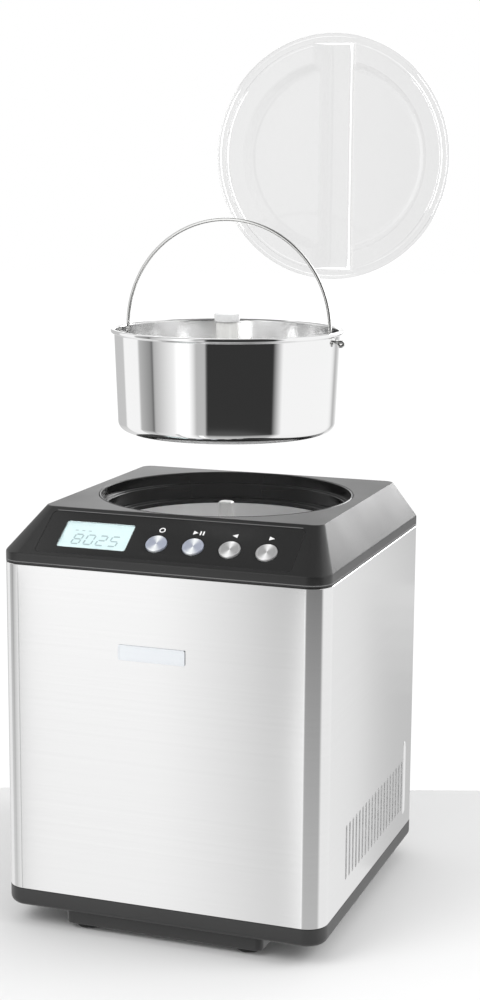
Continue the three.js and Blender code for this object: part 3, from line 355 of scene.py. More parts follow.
def film_plastic(name, faced=0.155, edged=0.7, dull=0.27, bright=1.0):
    """Thin clear sheet: a light haze where faced, denser and painted white as a highlight where seen edge on."""
    made, tree, shader = new_material(name)
    rim = put(add(tree, "ShaderNodeLayerWeight"), Blend=0.35).outputs["Facing"]
    # Painted highlight: where the sheet is seen edge on, its colour turns from dull grey to white.
    edge = math_node(tree, "POWER", rim, 2.0, clamp=True)
    put(shader, Base_Color=tint(tree, edge, grey(dull), grey(bright)), Alpha=between(tree, edge, faced, edged),
        Roughness=between(tree, use(tree, HANDLED, Size=8)["Mark"], 0.04, 0.10))
    mirror = put(add(tree, "ShaderNodeFresnel"), IOR=1.49).outputs[0]
    front = math_node(tree, "SUBTRACT", 1.0, add(tree, "ShaderNodeNewGeometry").outputs["Backfacing"])
    shine = put(add(tree, "ShaderNodeBsdfGlossy"), Roughness=0.05).outputs[0]
    glint = put(add(tree, "ShaderNodeMixShader"), math_node(tree, "MULTIPLY", mirror, front), None, shine)
    both = put(add(tree, "ShaderNodeAddShader"), shader.outputs[0], glint.outputs[0])
    put(tree.nodes["Material Output"], Surface=both.outputs[0])
    return made


def emitting(name, strength):
    made = bpy.data.materials.new(name)
    tree = blank_tree(made)
    light = put(add(tree, "ShaderNodeEmission"), Color=(1, 1, 1, 1), Strength=strength)
    put(add(tree, "ShaderNodeOutputMaterial"), Surface=light.outputs[0])
    return made


# ---- finishes

WRAP_STEEL = sanded_metal("brushed_steel_wrap", grey(0.81), 0.10, (5, 5, 2600), contrast=0.02)
BOWL_STEEL = polished_metal("polished_bowl_steel", grey(0.90), 0.03, inside=0.15)
BAIL_STEEL = polished_metal("bail_wire_steel", (0.80, 0.80, 0.79), 0.16)
SCREEN_METAL = sanded_metal("vent_screen", grey(0.58), 0.5, (900, 900, 900), 0.0001, 0.6, 0.15, metallic=0.3)
BADGE_STEEL = sanded_metal("badge_satin", (0.86, 0.89, 0.92), 0.30, (5, 5, 3000), contrast=0.02, metallic=0.7)
SHAFT_STEEL = sanded_metal("drive_shaft_steel", (0.82, 0.82, 0.81), 0.30, (1800, 1800, 20), metallic=0.4)
DRUM_METAL = lathed_metal("drum_aluminium", grey(0.80), 0.42, (0, WELL_Y * MM), 1200, 5, 0.05, 0.3)
COVER_BLACK = moulding("satin_black_cover", grey(0.014), 0.33, 1500, 0.00003, 0.12)
# Painted highlight: a grey that stands in for the light caught along the cover's groove and the panel's top edge.
SEAM_HIGHLIGHT_GREY = moulding("cover_seam_sheen", grey(0.10), 0.62, 1500, 0.00003, 0.12)
PANEL_BLACK = moulding("gloss_black_panel", grey(0.012), 0.16, 900, 0.00001, 0.05, spread=0.03)
COLLAR_BLACK = moulding("gloss_black_collar", grey(0.014), 0.17, 1200, 0.00002, 0.08, spread=0.04)
BASE_CHARCOAL = moulding("charcoal_base", grey(0.024), 0.40, 1500, 0.00005, 0.3)
FOOT_RUBBER = moulding("foot_rubber", grey(0.013), 0.8, 1100, 0.00006, 0.5)
WHITE_NYLON = moulding("white_nylon", (0.80, 0.80, 0.78), 0.38, 1300, 0.00003, 0.15, worn=1.05)
FAN_PLASTIC = moulding("fan_plastic", grey(0.015), 0.45, 1400)
ENAMEL = moulding("compressor_enamel", grey(0.010), 0.34, 500, 0.00006, 0.3)
FOAM = moulding("well_foam", (0.70, 0.64, 0.48), 0.9, 700, 0.0003, 0.8, worn=1.1)
ZINC = sanded_metal("zinc_plated_sheet", (0.55, 0.56, 0.57), 0.38, (60, 60, 60), 0.00003, 0.3, 0.10)
COPPER = polished_metal("copper_pipe", (0.80, 0.42, 0.28), 0.26, 0.1)
MOTOR_METAL = sanded_metal("motor_can", (0.42, 0.43, 0.44), 0.36, (40, 40, 900))
FIN_METAL = sanded_metal("fin_aluminium", grey(0.60), 0.40, (30, 900, 30))
LID_CLEAR = film_plastic("clear_lid_plastic")
CAP_FROSTED = clear_plastic("frosted_cap_plastic", (0.97, 0.975, 0.975), 0.25, 0.2, 1.45)
LENS_CLEAR = clear_plastic("display_lens", (0.97, 0.99, 0.99), 0.03, 1.0, 1.2)
PRINT_WHITE = moulding("printed_white", grey(0.80), 0.5, 2000, worn=1.0)


def display_glow():
    """The lit display: pale cyan and a little uneven."""
    made, tree, shader = new_material("lit_display")
    patch = use(tree, MOULDED, Grains=60, Patches=22)["Patch"]
    put(shader, Base_Color=tint(tree, patch, (0.62, 0.72, 0.73), (0.70, 0.80, 0.81)),
        Emission_Color=tint(tree, patch, (0.44, 0.60, 0.60), (0.55, 0.70, 0.70)),
        Emission_Strength=0.36, Roughness=0.5)
    return made


LCD_GLOW = display_glow()
LCD_INK = moulding("display_segments", (0.40, 0.53, 0.56), 0.5, 2000, worn=1.0)


def board_green():
    made, tree, shader = new_material("circuit_board")
    surface = use(tree, MOULDED, Grains=500, Patches=70)
    put(shader, Base_Color=tint(tree, surface["Patch"], (0.02, 0.10, 0.04), (0.05, 0.20, 0.09)),
        Roughness=between(tree, surface["Patch"], 0.35, 0.55),
        Normal=bump(tree, surface["Height"], 0.00005, 0.3))
    return made


BOARD = board_green()


# ---- mesh helpers

def rounded(points, closed=True, steps=5):
    """A path with its corners rounded. Each point is (x, y) or (x, y, radius)."""
    count, path = len(points), []
    for i, point in enumerate(points):
        here = Vector(point[:2])
        radius = point[2] if len(point) > 2 else 0
        if radius <= 0 or (not closed and i in (0, count - 1)):
            path.append((here.x, here.y))
            continue
        before = Vector(points[i - 1][:2]) - here
        after = Vector(points[(i + 1) % count][:2]) - here
        half = before.angle(after) / 2
        reach = min(radius / math.tan(half), before.length * 0.49, after.length * 0.49)
        radius = reach * math.tan(half)
        start, end = here + before.normalized() * reach, here + after.normalized() * reach
        centre = here + (before.normalized() + after.normalized()).normalized() * (radius / math.sin(half))
        first, last = start - centre, end - centre
        arc = first.angle_signed(last)
        for k in range(steps + 1):
            turn = -arc * k / steps
            spoke = Vector((first.x * math.cos(turn) - first.y * math.sin(turn),
                            first.x * math.sin(turn) + first.y * math.cos(turn)))
            path.append(tuple(centre + spoke))
    return path


def skin(loops, ends="caps"):
    """A mesh through loops of points, each joined to the next. Its ends are closed by faces (caps), joined
    to each other (band), or single points (tips)."""
    bm = bmesh.new()
    rings = [[bm.verts.new(point) for point in loop] for loop in loops]
    for a, b in zip(rings, rings[1:] + rings[:1] if ends == "band" else rings[1:]):
        for k in range(max(len(a), len(b))):
            corners = (a[k % len(a)], a[(k + 1) % len(a)], b[(k + 1) % len(b)], b[k % len(b)])
            unique = list(dict.fromkeys(corners))
            if len(unique) > 2:
                bm.faces.new(unique)
    if ends == "caps":
        bm.faces.new(list(reversed(rings[0])))
        bm.faces.new(rings[-1])
    bmesh.ops.recalc_face_normals(bm, faces=bm.faces)
    return bm


def at(outline, height):
    return [(x, y, height) for x, y in outline]


def prism(outline, low, high):
    return skin([at(outline, low), at(outline, high)])


def lathe(profile, segments=96, centre=(0, 0, 0)):
    """Turns a path of (radius, height) about an upright axis. A path between two points on the axis is
    a full body, and any other path closes on itself."""
    x, y, z = centre
    turns = [2 * math.pi * k / segments for k in range(segments)]
    loops = [[(x, y, z + height)] if radius == 0 else [
        (x + radius * math.cos(a), y + radius * math.sin(a), z + height) for a in turns]
        for radius, height in profile]
    return skin(loops, "tips" if profile[0][0] == profile[-1][0] == 0 else "band")


def corner_box(x0, y0, x1, y1, front, back=None, steps=6):
    """A rectangle with rounded corners, as points going round it."""
    back = front if back is None else back
    spots = [(x1 - front, y0 + front, front, -90), (x1 - back, y1 - back, back, 0),
             (x0 + back, y1 - back, back, 90), (x0 + front, y0 + front, front, 180)]
    points = []
    for x, y, radius, start in spots:
        for k in range(steps + 1):
            angle = math.radians(start + 90 * k / steps)
            points.append((x + radius * math.cos(angle), y + radius * math.sin(angle)))
    return points


def slab(x0, y0, x1, y1, corner, low, high, edge=0.5, steps=6, foot_edge=None):
    """A plate with rounded corners and rounded top and bottom edges."""
    foot_edge = edge if foot_edge is None else foot_edge

    def level(inset, height):
        outline = corner_box(x0 + inset, y0 + inset, x1 - inset, y1 - inset, max(corner - inset, 0.05), steps=steps)
        return at(outline, height)

    quarter = [math.radians(90 * k / 3) for k in range(4)]
    sections = [level(foot_edge * (1 - math.sin(a)), low + foot_edge * (1 - math.cos(a))) for a in quarter]
    sections += [level(edge * (1 - math.cos(a)), high - edge * (1 - math.sin(a))) for a in quarter]
    return skin(sections)


def sweep(path, radius, sides):
    """A round wire along points."""
    points, loops, normal = [Vector(p) for p in path], [], None
    for before, point, after in zip(points[:1] + points, points, points[1:] + points[-1:]):
        along = (after - before).normalized()
        if normal is None:
            normal = along.orthogonal().normalized()
        normal = (normal - along * normal.dot(along)).normalized()
        side = along.cross(normal)
        turns = [2 * math.pi * k / sides for k in range(sides)]
        loops.append([point + radius * (normal * math.cos(a) + side * math.sin(a)) for a in turns])
    return skin(loops)


def merged(*parts):
    """Several bmeshes as one."""
    whole = parts[0]
    for part in parts[1:]:
        spare = bpy.data.meshes.new("spare")
        part.to_mesh(spare)
        part.free()
        whole.from_mesh(spare)
        bpy.data.meshes.remove(spare)
    return whole


def moved(bm, matrix):
    bmesh.ops.transform(bm, matrix=matrix, verts=bm.verts)
    return bm


def soften(bm, sharp):
    """Smooth shading, with edges sharper than the angle in degrees left crisp."""
    for face in bm.faces:
        face.smooth = True
    for edge in bm.edges:
        edge.smooth = len(edge.link_faces) != 2 or edge.calc_face_angle(0) < math.radians(sharp)


def to_object(name, bm, sharp=32):
    """The bmesh in millimetres as an object in metres."""
    bmesh.ops.scale(bm, vec=(MM, MM, MM), verts=bm.verts)
    soften(bm, sharp)
    mesh = bpy.data.meshes.new(name)
    bm.to_mesh(mesh)
    bm.free()
    made = bpy.data.objects.new(name, mesh)
    scene.collection.objects.link(made)
    return made


def carve(target, cutter, sharp=32, operation="DIFFERENCE"):
    """Cuts one bmesh in millimetres out of an object, or adds it, and keeps the result as its mesh."""
    tool = to_object("cutter", cutter)
    modifier = target.modifiers.new("cut", "BOOLEAN")
    modifier.operation, modifier.object, modifier.solver = operation, tool, "EXACT"
    bpy.context.view_layer.update()
    result = bpy.data.meshes.new_from_object(target.evaluated_get(bpy.context.evaluated_depsgraph_get()))
    target.modifiers.clear()
    old, target.data = target.data, result
    bpy.data.meshes.remove(old)
    bpy.data.objects.remove(tool)
    bm = bmesh.new()
    bm.from_mesh(result)
    bmesh.ops.remove_doubles(bm, verts=bm.verts, dist=1e-6)
    bmesh.ops.dissolve_degenerate(bm, dist=1e-6, edges=bm.edges)
    soften(bm, sharp)
    bm.to_mesh(result)
    bm.free()
    return target


def dress(piece, material, body, slot, *stands_for):
    """Gives a piece its finish and its body and hides the CAD nodes that it stands for. slot is not used."""
    piece.data.materials.clear()
    piece.data.materials.append(material)
    weighted = piece.modifiers.new("flat_faces_stay_flat", "WEIGHTED_NORMAL")
    weighted.keep_sharp = True
    weighted.weight = 100
    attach(piece, body)
    if stands_for:
        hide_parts(*stands_for)
    return piece


def refine(node, material, edge):
    """Keeps a CAD node's shape, breaks its sharp edges and gives it its finish."""
    part = nodes[node]
    part.data.materials.clear()
    part.data.materials.append(material)
    joined = part.modifiers.new("joined_corners", "WELD")
    joined.merge_threshold = 1e-5
    if edge:
        broken = part.modifiers.new("broken_edges", "BEVEL")
        broken.width, broken.segments = edge * MM, 2
        broken.limit_method, broken.angle_limit = "ANGLE", math.radians(35)
        broken.use_clamp_overlap = True


# ---- studio

def stage_object(name, bm, material):
    made = to_object(name, bm)
    made.data.materials.append(material)
    return made


def reflected_card(name, bm, material):
    """A stage object that shows in polished surfaces and nowhere else, and lights nothing by itself."""
    card = stage_object(name, bm, material)
    card.visible_camera = card.visible_diffuse = card.visible_shadow = False
    card.visible_transmission = card.visible_volume_scatter = False


def make_floor(near=-0.55, rear=0.20, horizon=0.262):
    """A pale table top that turns into the white sweep behind the object at the horizon, in metres."""
    made, tree, shader = new_material("pale_table")
    depth = split(tree, own_place(tree))[1]
    # Painted shade: the table's colour darkens from grey 0.79 at the near edge to 0.71 towards the rear.
    shade = between(tree, depth, 0.0, 1.0, near, rear)
    put(shader, Base_Color=tint(tree, shade, grey(0.79), grey(0.71)), Roughness=0.9, Specular_IOR_Level=0.1)
    white = put(add(tree, "ShaderNodeEmission"), Strength=1.05)
    far = math_node(tree, "GREATER_THAN", depth, horizon)
    mixed = put(add(tree, "ShaderNodeMixShader"), far, shader.outputs[0], white.outputs[0])
    put(tree.nodes["Material Output"], Surface=mixed.outputs[0])
    floor = stage_object("floor", slab(-9000, -9000, 9000, 9000, 100, BASE - 30, BASE, 1), made)
    floor.matrix_world = shift(0, 0, (FOOT_LEVEL - BASE) * MM) @ rotate(CAMERA_TURN, "Z")
    floor.visible_glossy = False


STUDIO_RADIUS = 1.05


def surround(stops, low=-0.9, high=2.2):
    """A ring of light and dark panels round the object. Each stop is (degrees from the front towards the
    right, brightness), and the brightness runs evenly from one stop to the next. Lower down the panels
    mix with the pale table that they stand on."""
    made = emitting("studio_panels", 1.0)
    tree = made.node_tree
    turn = put(add(tree, "ShaderNodeTexGradient", gradient_type="RADIAL"), own_place(tree)).outputs["Fac"]
    ramp = put(add(tree, "ShaderNodeValToRGB"), turn)
    table = between(tree, split(tree, own_place(tree))[2], 0.0, 1.0, 0.2, -0.4)
    share = math_node(tree, "MULTIPLY", math_node(tree, "SQRT", table), 0.62)
    whole = put(add(tree, "ShaderNodeMix", data_type="RGBA"), Factor=share, A=ramp.outputs[0], B=(*grey(0.95), 1))
    put(tree.nodes["Emission"], Color=whole.outputs["Result"])
    places = sorted(((degrees / 360 + 0.25) % 1.0, level) for degrees, level in stops)
    elements = ramp.color_ramp.elements
    elements[0].position, elements[1].position = places[0][0], places[-1][0]
    for _ in places[1:-1]:
        elements.new(0.5)
    for element, (place, level) in zip(elements, places):
        element.position, element.color = place, (*grey(level), 1)
    bm = bmesh.new()
    bmesh.ops.create_cone(bm, cap_ends=False, segments=256, radius1=STUDIO_RADIUS / MM,
                          radius2=STUDIO_RADIUS / MM, depth=(high - low) / MM)
    reflected_card("studio_panels", moved(bm, shift(0, 0, (high + low) / 2 / MM)), made)


def box_outline(start, end, low, high):
    return [(start, low), (end, low), (end, high), (start, high)]


def panel(name, outline, strength, radius=1.0):
    """A light panel that shows only in reflections. Its corners are (degrees from the front towards the
    right, height in metres)."""
    bm = bmesh.new()
    corners = []
    for degrees, height in outline:
        turn = math.radians(degrees)
        place = Vector((radius * math.sin(turn), -radius * math.cos(turn), height))
        corners.append(bm.verts.new(place / MM))
    bm.faces.new(corners)
    reflected_card(name, bm, emitting(name, strength))


def table_glow(strength, low=-0.89):
    """The pale table as metal mirrors it from above, far below the floor so that it stays even."""
    bm = bmesh.new()
    bmesh.ops.create_circle(bm, cap_ends=True, segments=64, radius=STUDIO_RADIUS / MM)
    reflected_card("table_glow", moved(bm, shift(0, 0, low / MM)), emitting("table_glow", strength))


def soft_light(name, place, size, watts, aim=(0, 0, 0.3)):
    data = bpy.data.lights.new(name, "AREA")
    data.shape, data.size, data.energy = "DISK", size, watts
    lamp = bpy.data.objects.new(name, data)
    lamp.location = place
    lamp.rotation_euler = (Vector(aim) - Vector(place)).to_track_quat("-Z", "Y").to_euler()
    lamp.visible_glossy = False
    scene.collection.objects.link(lamp)


def make_world(mirrored=0.22, lit=0.93):
    """White where it is looked at or seen through plastic, dim where metal mirrors it."""
    scene.world = bpy.data.worlds.new("studio_white")
    tree = blank_tree(scene.world)
    path = add(tree, "ShaderNodeLightPath").outputs
    straight = math_node(tree, "MAXIMUM", path["Is Camera Ray"], path["Is Transmission Ray"])
    plain = math_node(tree, "SUBTRACT", lit, math_node(
        tree, "MULTIPLY", path["Is Glossy Ray"], lit - mirrored))
    strength = math_node(tree, "MAXIMUM", plain, straight)
    sky = put(add(tree, "ShaderNodeBackground"), Color=(1, 1, 1, 1), Strength=strength)
    put(add(tree, "ShaderNodeOutputWorld"), Surface=sky.outputs[0])


make_floor()
make_world()
surround([
    (-179, 0.95), (-168, 1.0), (-158, 1.3), (-150, 1.3), (-138, 0.57), (-108, 0.60), (-105, 1.0), (-80, 1.0),
    (-77, 0.50), (-62, 0.30), (-59, 0.16), (-57, 0.48), (-34, 0.95), (-28, 1.24), (-19, 1.22), (-16, 1.03),
    (-13, 0.82), (-10, 0.52), (-1.5, 0.52), (0.5, 0.036), (66, 0.036), (77, 1.0), (148, 1.0), (154, 0.9),
    (157, 0.75), (160, 0.56), (163, 0.5), (172, 0.70)])
table_glow(0.6)
panel("right_rear_softbox", box_outline(151, 174, 0.42, 1.0), 5.6)
for step in range(6):
    panel(f"low_right_shade_{step}", box_outline(156 + 0.4 * step, 172, -0.34, 0.07 - 0.03 * step),
          0.76 - 0.03 * step, 1.0 - 0.004 * step)
panel("rear_high_strip", box_outline(184, 214, 1.0, 1.5), 2.5)
panel("low_left_shade", box_outline(-34, -29.3, -0.6, 0.13), 0.60)
panel("low_front_strip", [(-3.5, 0.11), (-8.1, 0.11), (-8.5, -0.02), (-8.8, -0.12), (-8.6, -0.25),
                          (-8.2, -0.5), (-3.5, -0.5)], 1.15)
soft_light("key_light", (-1.1, -1.9, 2.4), 1.7, 31)
soft_light("fill_light", (2.0, 0.2, 1.9), 1.5, 26)


# ---- cabinet

def body_outline(inset=0.0, steps=16):
    return corner_box(-SIDE + inset, FRONT + inset, SIDE - inset, BACK - inset, FRONT_CORNER - inset,
                      max(REAR_CORNER - inset, 1), steps)


def deck_outline(inset=0.0):
    return corner_box(-SIDE + RUN_SIDE + inset, FRONT + RUN_FRONT + inset, SIDE - RUN_SIDE - inset,
                      BACK - RUN_BACK - inset, max(DECK_CORNER - inset, 1), steps=16)


def capsule(width, length, low, high, steps=6):
    """A slot cutter: a prism with round ends, long on Y of its own plane, from low to high."""
    half, radius = length / 2 - width / 2, width / 2
    loop = [(radius * math.cos(a), half + radius * math.sin(a)) for a in (
        math.pi * k / steps for k in range(steps + 1))]
    loop += [(-x, -y) for x, y in loop]
    return prism(loop, low, high)


def body_wrap():
    sheet, low, high = 1.0, wrap_low.z, wrap_high.z
    bm = skin([
        at(body_outline(0.3), low), at(body_outline(0), low + 0.3), at(body_outline(0), high - 0.3),
        at(body_outline(0.3), high), at(body_outline(sheet), high), at(body_outline(sheet), low)], "band")
    wrap = to_object("cabinet_wrap", bm)
    slots = []
    for i in range(VENT_COUNT):
        place = shift(0, VENT_Y + (i - VENT_COUNT // 2) * VENT_PITCH, VENT_Z)
        slots.append(moved(capsule(4, 48, -SIDE - 3, SIDE + 3), place @ rotate(90, "Y") @ rotate(90, "Z")))
    carve(wrap, merged(*slots))
    window = slab(-(SIDE - 24), low + 12, SIDE - 24, high - 12, 3, -4, 20, 0)
    carve(wrap, moved(window, shift(0, BACK, 0) @ rotate(90, "X") @ shift(0, 0, -8)))
    dress(wrap, WRAP_STEEL, "cabinet", "brushed_steel", "body_wrap")


def side_ribs():
    """A shallow pressed rib behind the vent slots on each side."""
    for side, label in ((1, "right"), (-1, "left")):
        foot, crest = corner_box(-35, -4.2, 35, 4.2, 3), corner_box(-32, -0.8, 32, 0.8, 0.7)
        rib = moved(skin([at(foot, -0.4), at(foot, 0.1), at(crest, 1.2)]),
                    shift(side * SIDE, RIB_Y, RIB_Z) @ rotate(90 * side, "Y"))
        dress(to_object(f"{label}_vent_rib", rib, 50), WRAP_STEEL, "cabinet", "brushed_steel")


def vent_screens():
    """A pale strip behind each row of slots, with the look of fine mesh."""
    for side, label in ((1, "right"), (-1, "left")):
        screen = moved(slab(-29, -100, 29, 100, 3, -0.5, 0.5, 0.1),
                       shift(side * (SIDE - 1.7), VENT_Y, VENT_Z) @ rotate(90, "Y"))
        dress(to_object(f"{label}_vent_screen", screen), SCREEN_METAL, "cabinet", "brushed_steel")


def base_pan():
    band, top, rise = 12.5, 28.6, 6
    arc = [math.radians(90 * k / 5) for k in range(6)]
    outer = [at(body_outline(rise - rise * math.sin(a)), band + rise - rise * math.cos(a)) for a in arc]
    outer += [at(body_outline(0), top - 0.4), at(body_outline(0.4), top)]
    pan = to_object("base_band", skin(outer))
    carve(pan, slab(-89, FRONT + 8, 89, BACK - 8, 6, BASE, band + 3, 0.1, foot_edge=1.5), operation="UNION")
    carve(pan, prism(body_outline(3.4, 8), band + 2.5, top + 5))
    carve(pan, slab(-86.5, FRONT + 10.5, 86.5, BACK - 10.5, 4, 3, top, 0.1))
    dress(pan, BASE_CHARCOAL, "cabinet", "charcoal_base", "base_pan")


def feet():
    for name in ("foot_front_left", "foot_front_right", "foot_rear_left", "foot_rear_right"):
        low, high = box_mm(name)
        spot = (*middle(name)[:2], 0)
        profile = rounded([(0, low.z), (11, low.z, 1.6), (11, -GAP, 0.5), (4, -GAP), (4, high.z, 1), (0, high.z)],
                          closed=False)
        tread = lathe([(2.4, low.z - 0.01), (3.4, low.z - 0.01), (3.4, low.z + 0.8), (2.4, low.z + 0.8)], 32, spot)
        foot = to_object(f"{name}_pad", lathe(profile, 48, spot))
        carve(foot, tread)
        dress(foot, FOOT_RUBBER, "cabinet", "black_rubber", name)


def slope_sections():
    """Loops from the band's bottom edge, up the slopes and onto the deck, with softened corners."""
    band_low = cover_low.z + 6
    path = rounded([(0, BAND_TOP - 3), (0, BAND_TOP, 2.6), (RUN_FRONT, DECK, 2.2), (RUN_FRONT + 4, DECK)],
                   closed=False, steps=6)
    lower, upper = body_outline(), deck_outline()
    sections = [at(body_outline(inset), band_low + height) for inset, height in (
        (0.5, 0), (0, 0.5), (0, 1.5), (0.45, 1.8), (0.45, 2.3), (0, 2.6))]
    for run, height in path:
        share = min(run / RUN_FRONT, 1)
        loop = [(a[0] + (b[0] - a[0]) * share, a[1] + (b[1] - a[1]) * share) for a, b in zip(lower, upper)]
        if run > RUN_FRONT:
            loop = deck_outline(run - RUN_FRONT)
        sections.append(at(loop, height))
    return sections


def panel_slab(grow, low, high, edge):
    """The control panel's plate in the slope's own frame, grown by a margin."""
    return slab(-PANEL_SIDE - grow, PANEL_FOOT - grow, PANEL_SIDE + grow, PANEL_HEAD + grow, 4 + grow, low, high,
                edge, steps=8, foot_edge=0)


def top_cover():
    cover = to_object("deck_and_slopes", skin(slope_sections()))
    wall, turn = 4.0, 4.0 * math.tan(SLOPE_ANGLE / 2)
    carve(cover, skin([at(body_outline(wall), cover_low.z - 2), at(body_outline(wall), BAND_TOP - turn),
                       at(deck_outline(turn), DECK - wall)]))
    well = rounded([(0, DECK - 12), (112.3, DECK - 12), (112.3, DECK - 0.8), (113.1, DECK + 0.3), (113.1, DECK + 4),
                    (0, DECK + 4)], closed=False)
    carve(cover, lathe(well, 160, (0, WELL_Y, 0)))
    carve(cover, moved(panel_slab(0.2, -2.1, 3, 0), SLOPE))
    carve(cover, moved(slab(-108.5, 7.5, 108.5, 49.5, 2, -12, 3, 0), SLOPE))
    dress(cover, COVER_BLACK, "cabinet", "black_cover", "top_cover")


def cover_seam_highlight():
    """A pale line in the groove along the cover's bottom edge, a painted highlight."""
    low, high = cover_low.z + 7.7, cover_low.z + 8.5
    bm = skin([at(body_outline(0.05), low), at(body_outline(0.05), high), at(body_outline(0.8), high),
               at(body_outline(0.8), low)], "band")
    dress(to_object("cover_seam_highlight", bm), SEAM_HIGHLIGHT_GREY, "cabinet", "black_cover")


def panel_seam_highlight():
    """A pale line along the top edge of the control panel, a painted highlight."""
    top = SLOPE_LENGTH - 4.4
    line = moved(slab(-109, top - 0.35, 109, top + 0.35, 0.3, -0.3, 0.15, 0), SLOPE)
    dress(to_object("panel_seam_highlight", line), SEAM_HIGHLIGHT_GREY, "cabinet", "black_cover")


def bail_notches(reach):
    """Cutters for the two pockets that take the ends of the bail when the bowl is seated."""
    low = BOWL_FOOT - BOWL_LIFT + BAIL_HEIGHT - 5.5
    cutters = []
    for side in (1, -1):
        x0, x1 = sorted((side * 92, side * reach))
        cutters.append(slab(x0, WELL_Y - 7, x1, WELL_Y + 7, 2, low, low + 12, 0))
    return merged(*cutters)


def well_collar():
    low = collar_low.z
    profile = rounded([
        (99.8, low, 0.3), (112, low, 0.3), (112, DECK - 0.4, 0.5), (111.2, DECK + 0.1, 0.4), (110.5, DECK - 0.3, 0.5),
        (110.5, DECK - 10, 0.8), (106, DECK - 10, 0.9), (106, DECK - 23.2, 0.8), (99.8, DECK - 23.2, 1.0)], steps=4)
    collar = to_object("well_rings", lathe(profile, 160, (0, WELL_Y, 0)))
    carve(collar, bail_notches(109.6))
    dress(collar, COLLAR_BLACK, "cabinet", "black_collar", "well_collar")


def drum():
    low, high = box_mm("evaporator_drum")
    profile = rounded([(10.3, low.z), (101.6, low.z, 3), (101.6, high.z, 0.6), (99.6, high.z, 0.6),
                       (99.6, low.z + 2.5, 5), (10.3, low.z + 2.5, 0.4)], steps=4)
    cup = to_object("cooling_drum", lathe(profile, 128, (0, WELL_Y, 0)))
    carve(cup, bail_notches(104.2))
    dress(cup, DRUM_METAL, "cabinet", "aluminium", "evaporator_drum")


# ---- control panel

PANEL_SIDE, PANEL_FOOT, PANEL_HEAD = 112, 4, SLOPE_LENGTH - 5.3
WINDOW = (-94.9, 12.5, -33.9, 42.5)
BUTTON_ROW = 23.0
MARK_ROW = 39.5
PRINT_LOW, PRINT_HIGH = -0.01, 0.06
INK_LOW, INK_HIGH = -2.09, -2.03
BUTTONS = (("power", -8.8), ("start_pause", 23.3), ("left", 55.0), ("right", 86.5))


def control_panel():
    panel = to_object("control_panel", moved(panel_slab(0, -1.8, 0, 0.35), SLOPE))
    cuts = [slab(WINDOW[0] - GAP, WINDOW[1] - GAP, WINDOW[2] + GAP, WINDOW[3] + GAP, 2, -4, 3, 0)]
    for _, x in BUTTONS:
        bore = [(0, -5), (9.35, -5), (9.35, -0.35), (9.8, 0.05), (9.8, 3), (0, 3)]
        cuts.append(lathe(bore, 64, (x, BUTTON_ROW, 0)))
    carve(panel, moved(merged(*cuts), SLOPE))
    dress(panel, PANEL_BLACK, "cabinet", "display_panel", "control_fascia")


def display():
    x0, y0, x1, y1 = WINDOW
    lens = to_object("display_lens", moved(slab(x0, y0, x1, y1, 1.8, -1.8, 0.05, 0.3), SLOPE))
    dress(lens, LENS_CLEAR, "cabinet", "display_lens", "display_window")
    glow = to_object("display_face", moved(slab(x0 - 2, y0 - 2, x1 + 2, y1 + 2, 1.5, -7.1, -2.1, 0.2), SLOPE))
    dress(glow, LCD_GLOW, "cabinet", "display_panel", "lcd_module")
    ink = to_object("display_digits", moved(digits("8025", x0 + 10.5, y0 + 5.5), SLOPE))
    dress(ink, LCD_INK, "cabinet", "display_panel")


SEGMENTS = {"0": "abcdef", "2": "abged", "5": "afgcd", "8": "abcdefg"}


def digits(text, left, foot, height=11.0, width=6.9, pitch=11.0, stroke=1.3, lean=0.14):
    """Seven-segment figures as thin leaning bars, with a row of small marks above them."""
    waist, parts = height / 2, []
    bars = {"a": (0, height, width, height), "g": (0, waist, width, waist), "d": (0, 0, width, 0),
            "f": (0, waist, 0, height), "b": (width, waist, width, height), "e": (0, 0, 0, waist),
            "c": (width, 0, width, waist)}
    for i, figure in enumerate(text):
        for name in SEGMENTS[figure]:
            x0, y0, x1, y1 = bars[name]
            along = 0.7 * Vector((x1 - x0, y1 - y0)).normalized()
            parts.append(strip((x0 + along.x + i * pitch, y0 + along.y), (x1 - along.x + i * pitch, y1 - along.y),
                               stroke))
    for i in range(3):
        parts.append(strip((i * 6.0 - 3, height + 4.5), (i * 6.0 - 0.4, height + 4.5), 0.8))
    figures = merged(*parts)
    for vert in figures.verts:
        x, y = vert.co.x, vert.co.y
        vert.co.x, vert.co.y = left + x + y * lean, foot + y
    return figures


def strip(start, end, width):
    """A thin flat bar of display ink between two points."""
    a, b = Vector(start), Vector(end)
    across = Vector((a.y - b.y, b.x - a.x)).normalized() * width / 2
    return prism([a - across, b - across, b + across, a + across], INK_LOW, INK_HIGH)


def panel_prints():
    """Generic marks above the buttons: a ring, play and pause, and two triangles."""
    power, start, left, right = (x for _, x in BUTTONS)
    low, row, high = MARK_ROW - 2.2, MARK_ROW, MARK_ROW + 2.2
    ring = [(1.75, PRINT_LOW), (2.75, PRINT_LOW), (2.75, PRINT_HIGH), (1.75, PRINT_HIGH)]
    shapes = [[(start - 4.6, low), (start - 0.4, row), (start - 4.6, high)]]
    for x in (start + 1.0, start + 3.6):
        shapes.append([(x, low), (x + 1.2, low), (x + 1.2, high), (x, high)])
    shapes.append([(left + 2.2, high), (left - 2.4, row), (left + 2.2, low)])
    shapes.append([(right - 2.2, low), (right + 2.4, row), (right - 2.2, high)])
    marks = [lathe(ring, 32, (power, row, 0))] + [prism(shape, PRINT_LOW, PRINT_HIGH) for shape in shapes]
    dress(to_object("panel_prints", moved(merged(*marks), SLOPE)), PRINT_WHITE, "cabinet", "display_panel")


